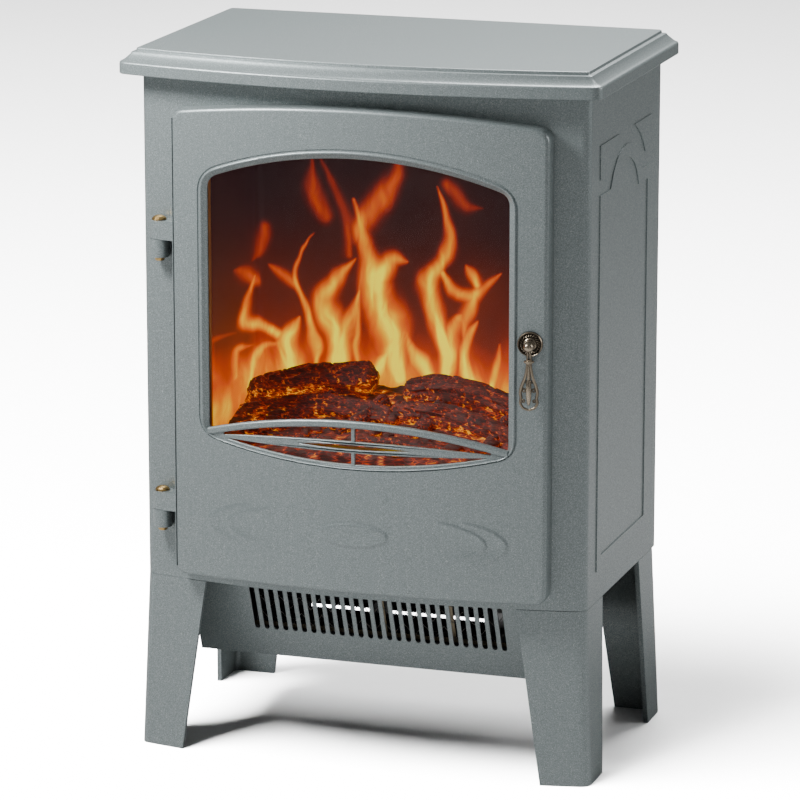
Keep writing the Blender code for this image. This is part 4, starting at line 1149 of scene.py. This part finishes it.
def paintFlames(across, height):
    # heat and haze at points of the picture
    sway = flame["sway"]
    lean = (
        latticeNoise(across, height * 0.6, 0.020, 3) * sway
        + latticeNoise(across, height * 0.5, 0.0065, 5) * sway * 0.30
    )
    lift = latticeNoise(across, height, 0.026, 7) * sway * 1.2
    x, z = across + lean, height + lift
    heat = np.zeros_like(across)
    haze = np.zeros_like(across)
    for width, warmth, *path in tongues:
        line = smoothPath([(a / 1000, b / 1000, 0) for a, b in path], 48)
        widest = flame["fullness"] * width / 1000
        right = x - stove["middle"]
        up = z - fireFloor
        close = (
            (right > min(spot.x for spot in line) - 2 * widest)
            & (right < max(spot.x for spot in line) + 2 * widest)
            & (up > min(spot.y for spot in line) - 2 * widest)
            & (up < max(spot.y for spot in line) + 2 * widest)
        )
        right, up = right[close], up[close]
        best = np.full_like(right, 1e9)
        glow = np.zeros_like(right)
        for number, spot in enumerate(line):
            share = number / (len(line) - 1)
            # widest a third of the way up, narrow at the root and a point at the tip
            girth = widest * (0.10 + 0.90 * math.sin(math.pi * (0.16 + 0.84 * share) ** 0.75) ** 0.8)
            reach = ((right - spot.x) ** 2 + (up - spot.y) ** 2) / girth**2
            closer = reach < best
            best = np.where(closer, reach, best)
            glow = np.where(closer, warmth * (1 - flame["cooling"] * share**2), glow)
        edge = np.clip(np.sqrt(best) / 1.6, 0, 1)
        body = glow * (1 - edge * edge * (3 - 2 * edge))
        heat[close] = np.maximum(heat[close], body) + 0.16 * np.minimum(heat[close], body)
        for spot in line[::24]:
            away = (x - stove["middle"] - spot.x) ** 2 + (z - fireFloor - spot.y) ** 2
            haze = haze + warmth * np.exp(-away / 0.024**2) * 0.05
    streak = (
        latticeNoise(across + lean, height * 0.16, 0.0042, 11) * 0.5
        + latticeNoise(across + lean * 2, height * 0.22, 0.0018, 13) * 0.3
    )
    base = (
        0.66 * np.exp(-(((height - 0.292) / 0.045) ** 2))
        + 0.14 * latticeNoise(across, height * 0.7, 0.016, 17) * np.exp(-(((height - 0.30) / 0.06) ** 2))
    )
    heat = np.maximum(heat, base) + 0.16 * np.minimum(heat, base)
    heat = heat * (1 + 0.26 * streak)
    haze = (
        np.clip(haze * 0.55 + 0.5 * np.exp(-(((height - 0.30) / 0.10) ** 2)), 0, 1)
        * (1 + 0.18 * latticeNoise(across, height, 0.045, 19))
    )
    return np.clip(heat, 0, 1.0), np.clip(haze, 0, 1)


def makeFlamePicture():
    flat, wing = flame["half"], flame["wing"]
    columns = int(2 * flat / flame["pitch"])
    wingColumns = int(wing * flame["wingShare"] / flame["pitch"])
    rows = int((flame["high"] - flame["low"]) / flame["pitch"])
    total = columns + 2 * wingColumns
    shape = bmesh.new()
    bmesh.ops.create_grid(shape, x_segments=total, y_segments=rows, size=0.5)
    spots = []
    turn = 0.006  # the bend between the flat part and a wing
    for vert in shape.verts:
        column = (vert.co.x + 0.5) * total
        height = flame["low"] + (vert.co.y + 0.5) * (flame["high"] - flame["low"])
        across = (column - total / 2) * flame["pitch"]
        beyond = max(abs(across) - flat, 0.0)
        side = math.copysign(1, across)
        if beyond > 0:
            x = side * flat
            y = flame["face"] - 0.0002 - beyond / flame["wingShare"]
        else:
            x = across
            y = flame["face"] - 0.0002
        depth = flame["face"] - 0.0002 - y
        inward = flat - abs(x)
        if depth < turn and inward < turn:
            a, b = turn - depth, turn - inward
            scale = turn / max(math.hypot(a, b), turn)
            y = flame["face"] - 0.0002 - (turn - a * scale)
            x = side * (flat - (turn - b * scale))
        vert.co = (x + stove["middle"], y, height)
        spots.append((across + stove["middle"], height))
    spots = np.array(spots)
    heat, haze = paintFlames(spots[:, 0], spots[:, 1])
    heatLayer = shape.verts.layers.float.new("blaze")
    hazeLayer = shape.verts.layers.float.new("haze")
    for vert, warm, dim in zip(shape.verts, heat, haze):
        vert[heatLayer] = warm
        vert[hazeLayer] = dim
    bmesh.ops.recalc_face_normals(shape, faces=shape.faces)
    if sum(face.normal.y for face in shape.faces) > 0:
        bmesh.ops.reverse_faces(shape, faces=shape.faces)
    return shape


place("flamePicture", makeFlamePicture(), flamePrintFinish, "stove", [], "flame_plastic", 60)
print("flames painted")

# log bed: charred logs and coals on a bed of embers

bed = {
    "half": 0.1405,
    "front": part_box("log_bed")[0].y + 0.0005,
    "back": 0.0305,
    "foot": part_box("log_bed")[0].z,
    "frontHeight": 0.012,
    "backHeight": 0.046,
}
# both ends and the middle of each log, with its radius there, in millimetres
logPlan = (
    ((-138, 2, 294, 10), (-88, 6, 307, 13.5), (-22, 12, 313, 15)),
    ((4, 4, 303, 13), (56, 2, 308, 14.5), (140, -10, 288, 12)),
    ((-136, -28, 282, 9), (-60, -20, 292, 11.5), (8, -26, 288, 9)),
    ((-2, -18, 292, 10), (66, -28, 290, 12), (141, -44, 273, 10)),
    ((-112, -46, 273, 7), (-84, -34, 284, 8), (-52, -8, 300, 7)),
    ((20, -52, 273, 7), (34, -34, 284, 8), (44, -10, 300, 7)),
    ((-40, -50, 275, 7.5), (-22, -32, 286, 8.5), (-8, -6, 300, 7.5)),
    ((92, -58, 268, 7), (100, -40, 280, 8), (104, -18, 292, 7)),
    ((-30, -54, 271, 7), (30, -60, 272, 8.5), (88, -66, 266, 7)),
    ((-132, -58, 268, 7), (-80, -60, 270, 8), (-38, -62, 270, 6.5)),
)
coals = {"count": 40, "seed": 5, "small": 0.0034, "large": 0.0066}


def barkAt(where, along, around):
    # how far the bark stands out, and how open its cracks are
    grain = noise.noise(Vector((where.x * 38, around * 3.2, where.z * 30)))
    ridge = 1 - abs(noise.noise(Vector((along * 5.5 + where.y * 20, around * 2.6, 4.1)))) * 2.4
    split = abs(noise.noise(Vector((along * 22, around * 1.5, where.y * 40 + 9.0))))
    crack = max(eased(0.10 - split, 0.0, 0.10), eased(ridge, 0.80, 1.0))
    return grain, crack


def addLog(shape, layer, plan, seed):
    line = smoothPath([Vector(spot[:3]) / 1000 for spot in plan], 44)
    girth = [spot.x for spot in smoothPath([(spot[3] / 1000, 0, 0) for spot in plan], 44)]
    sides = 40
    rings = []
    for number, (centre, radius) in enumerate(zip(line, girth)):
        along = number / (len(line) - 1)
        heading = (line[min(number + 1, len(line) - 1)] - line[max(number - 1, 0)]).to_track_quat("Z", "Y")
        tip = min(along, 1 - along) * len(line)
        close = 0.35 + 0.65 * eased(tip, 0, 5)
        ring = []
        for side in range(sides):
            turn = math.tau * side / sides
            ray = heading @ Vector((math.cos(turn), math.sin(turn), 0))
            folded = math.cos(turn) + 1.7 * math.sin(turn)
            grain, crack = barkAt(centre + ray * radius + Vector((seed, 0, 0)), along + seed, folded)
            flatSide = 1 - 0.12 * abs(math.sin(turn * 2 + seed))
            reach = radius * close * flatSide * (1 + 0.20 * grain - 0.17 * crack)
            vert = shape.verts.new(centre + ray * reach)
            under = eased(-ray.z, -0.55, 0.85)
            patch = noise.noise((centre + ray * radius) * 55 + Vector((0, 0, seed)))
            vert[layer] = (
                0.20 + 0.34 * under * (0.6 + patch)
                + crack * (0.26 + 0.42 * (0.5 + patch) * (0.35 + under))
            )
            ring.append(vert)
        rings.append([shape.edges.new((a, b)) for a, b in zip(ring, ring[1:] + ring[:1])])
    bridge(shape, rings)
    cap(shape, rings[0])
    cap(shape, rings[-1])


def bedHeight(x, y):
    share = (y - bed["front"]) / (bed["back"] - bed["front"])
    slope = bed["frontHeight"] + (bed["backHeight"] - bed["frontHeight"]) * share
    lump = (
        noise.noise(Vector((x * 90, y * 110, 2.0))) * 0.0032
        + noise.noise(Vector((x * 230, y * 260, 5.0))) * 0.0014
    )
    return bed["foot"] + slope + lump


def makeLogBed():
    shape = bmesh.new()
    layer = shape.verts.layers.float.new("ember")
    bmesh.ops.create_grid(shape, x_segments=190, y_segments=84, size=0.5)
    middleY = (bed["front"] + bed["back"]) / 2
    for vert in shape.verts:
        x = vert.co.x * 2 * bed["half"]
        y = middleY + vert.co.y * (bed["back"] - bed["front"])
        height = bedHeight(x, y)
        hollow = noise.noise(Vector((x * 120, y * 130, 7.0)))
        vert[layer] = 0.30 + 0.62 * hollow
        vert.co = (x + stove["middle"], y, height)
    rim = [edge for edge in shape.edges if edge.is_boundary]
    skirt = bmesh.ops.extrude_edge_only(shape, edges=rim)["geom"]
    for item in skirt:
        if isinstance(item, bmesh.types.BMVert):
            item.co.z = bed["foot"] + 0.0004
    bmesh.ops.holes_fill(shape, edges=[edge for edge in shape.edges if edge.is_boundary])
    for number, plan in enumerate(logPlan):
        addLog(shape, layer, plan, number * 1.37)
    draw = np.random.RandomState(coals["seed"])
    for number in range(coals["count"]):
        x = (draw.rand() * 2 - 1) * (bed["half"] - 0.012)
        y = bed["front"] + 0.010 + draw.rand() * (bed["back"] - bed["front"] - 0.03)
        radius = coals["small"] + (coals["large"] - coals["small"]) * draw.rand()
        stretch = Matrix.Diagonal(
            (1.3 + 0.6 * draw.rand(), 0.8 + 0.4 * draw.rand(), 0.7 + 0.3 * draw.rand(), 1))
        turn = Matrix.Rotation(draw.rand() * math.tau, 4, "Z")
        spot = Vector((x + stove["middle"], y, bedHeight(x, y) + radius * 0.35))
        made = bmesh.ops.create_icosphere(
            shape, subdivisions=3, radius=radius, matrix=Matrix.Translation(spot) @ turn @ stretch
        )
        for vert in made["verts"]:
            ray = (vert.co - spot).normalized()
            rough = noise.noise(vert.co * 300) * 0.22 + noise.noise(vert.co * 800) * 0.08
            vert.co += ray * radius * rough
            vert[layer] = 0.10 + 0.62 * eased(-ray.z, -0.5, 0.7) + max(-rough, 0) * 1.1
    bmesh.ops.recalc_face_normals(shape, faces=shape.faces)
    return shape


place("logBed", makeLogBed(), finishes["log_moulding"], "stove", ["log_bed"], "log_moulding", 60)
print("logs laid")

# stage

floorSize = {"half": 6.0, "rise": 4.0, "behind": 3.5}


def stageFinish():
    # white paper that lights the stove less than it shows
    floor = Finish("paper", roughness=0.9, specular=0.1)
    fibre = floor.noise(60, 3.0)
    seen = floor.add("ShaderNodeLightPath", {}, {}, "Is Camera Ray")
    floor.set(colour=floor.mix(
        seen, (0.045, 0.045, 0.045), floor.mix(fibre, (0.86, 0.86, 0.86), (0.90, 0.90, 0.90))))
    return floor.material


def makeFloor():
    shape = bmesh.new()
    half = floorSize["half"]
    bmesh.ops.create_grid(shape, x_segments=8, y_segments=8, size=half)
    mesh = bpy.data.meshes.new("paperFloor")
    shape.to_mesh(mesh)
    shape.free()
    mesh.materials.append(stageFinish())
    floor = bpy.data.objects.new("paperFloor", mesh)
    bpy.context.scene.collection.objects.link(floor)
    return floor


floor = makeFloor()

lamps = {
    "key": {"place": (-0.48, -0.52, 1.02), "aim": (-0.05, -0.1, 0.42), "size": 0.26, "power": 16},
    "fill": {"place": (1.9, -1.9, 0.9), "aim": (0.0, 0.0, 0.3), "size": 1.2, "power": 2.2},
    "top": {"place": (0.1, 0.9, 1.9), "aim": (0.0, 0.0, 0.6), "size": 1.0, "power": 60},
    "side": {"place": (1.5, 0.5, 0.9), "aim": (0.2, 0.0, 0.35), "size": 0.8, "power": 9},
}


def addLamp(name, place, aim, size, power):
    light = bpy.data.lights.new(name, "AREA")
    light.energy = power
    light.size = size
    lamp = bpy.data.objects.new(name, light)
    lamp.location = place
    lamp.rotation_euler = (Vector(place) - Vector(aim)).to_track_quat("Z", "Y").to_euler()
    lamp.visible_camera = False
    bpy.context.scene.collection.objects.link(lamp)
    return lamp


for name, lamp in lamps.items():
    addLamp(name, **lamp)

paperLight = addLamp("paperLight", (-0.9, -1.2, 3.2), (0.0, 0.0, 0.0), 1.6, 2600)
onlyPaper = bpy.data.collections.new("onlyPaper")
onlyPaper.objects.link(floor)
paperLight.light_linking.receiver_collection = onlyPaper


def makeWorld():
    world = bpy.data.worlds.new("studio")
    bpy.context.scene.world = world
    world.use_nodes = True
    tree = world.node_tree
    around = tree.nodes["Background"]
    around.inputs["Color"].default_value = (1.0, 1.0, 1.0, 1.0)
    around.inputs["Strength"].default_value = 0.10
    seen = tree.nodes.new("ShaderNodeBackground")
    seen.inputs["Color"].default_value = (1.0, 1.0, 1.0, 1.0)
    seen.inputs["Strength"].default_value = 20.0
    path = tree.nodes.new("ShaderNodeLightPath")
    blend = tree.nodes.new("ShaderNodeMixShader")
    tree.links.new(path.outputs["Is Camera Ray"], blend.inputs[0])
    tree.links.new(around.outputs[0], blend.inputs[1])
    tree.links.new(seen.outputs[0], blend.inputs[2])
    tree.links.new(blend.outputs[0], tree.nodes["World Output"].inputs[0])


makeWorld()
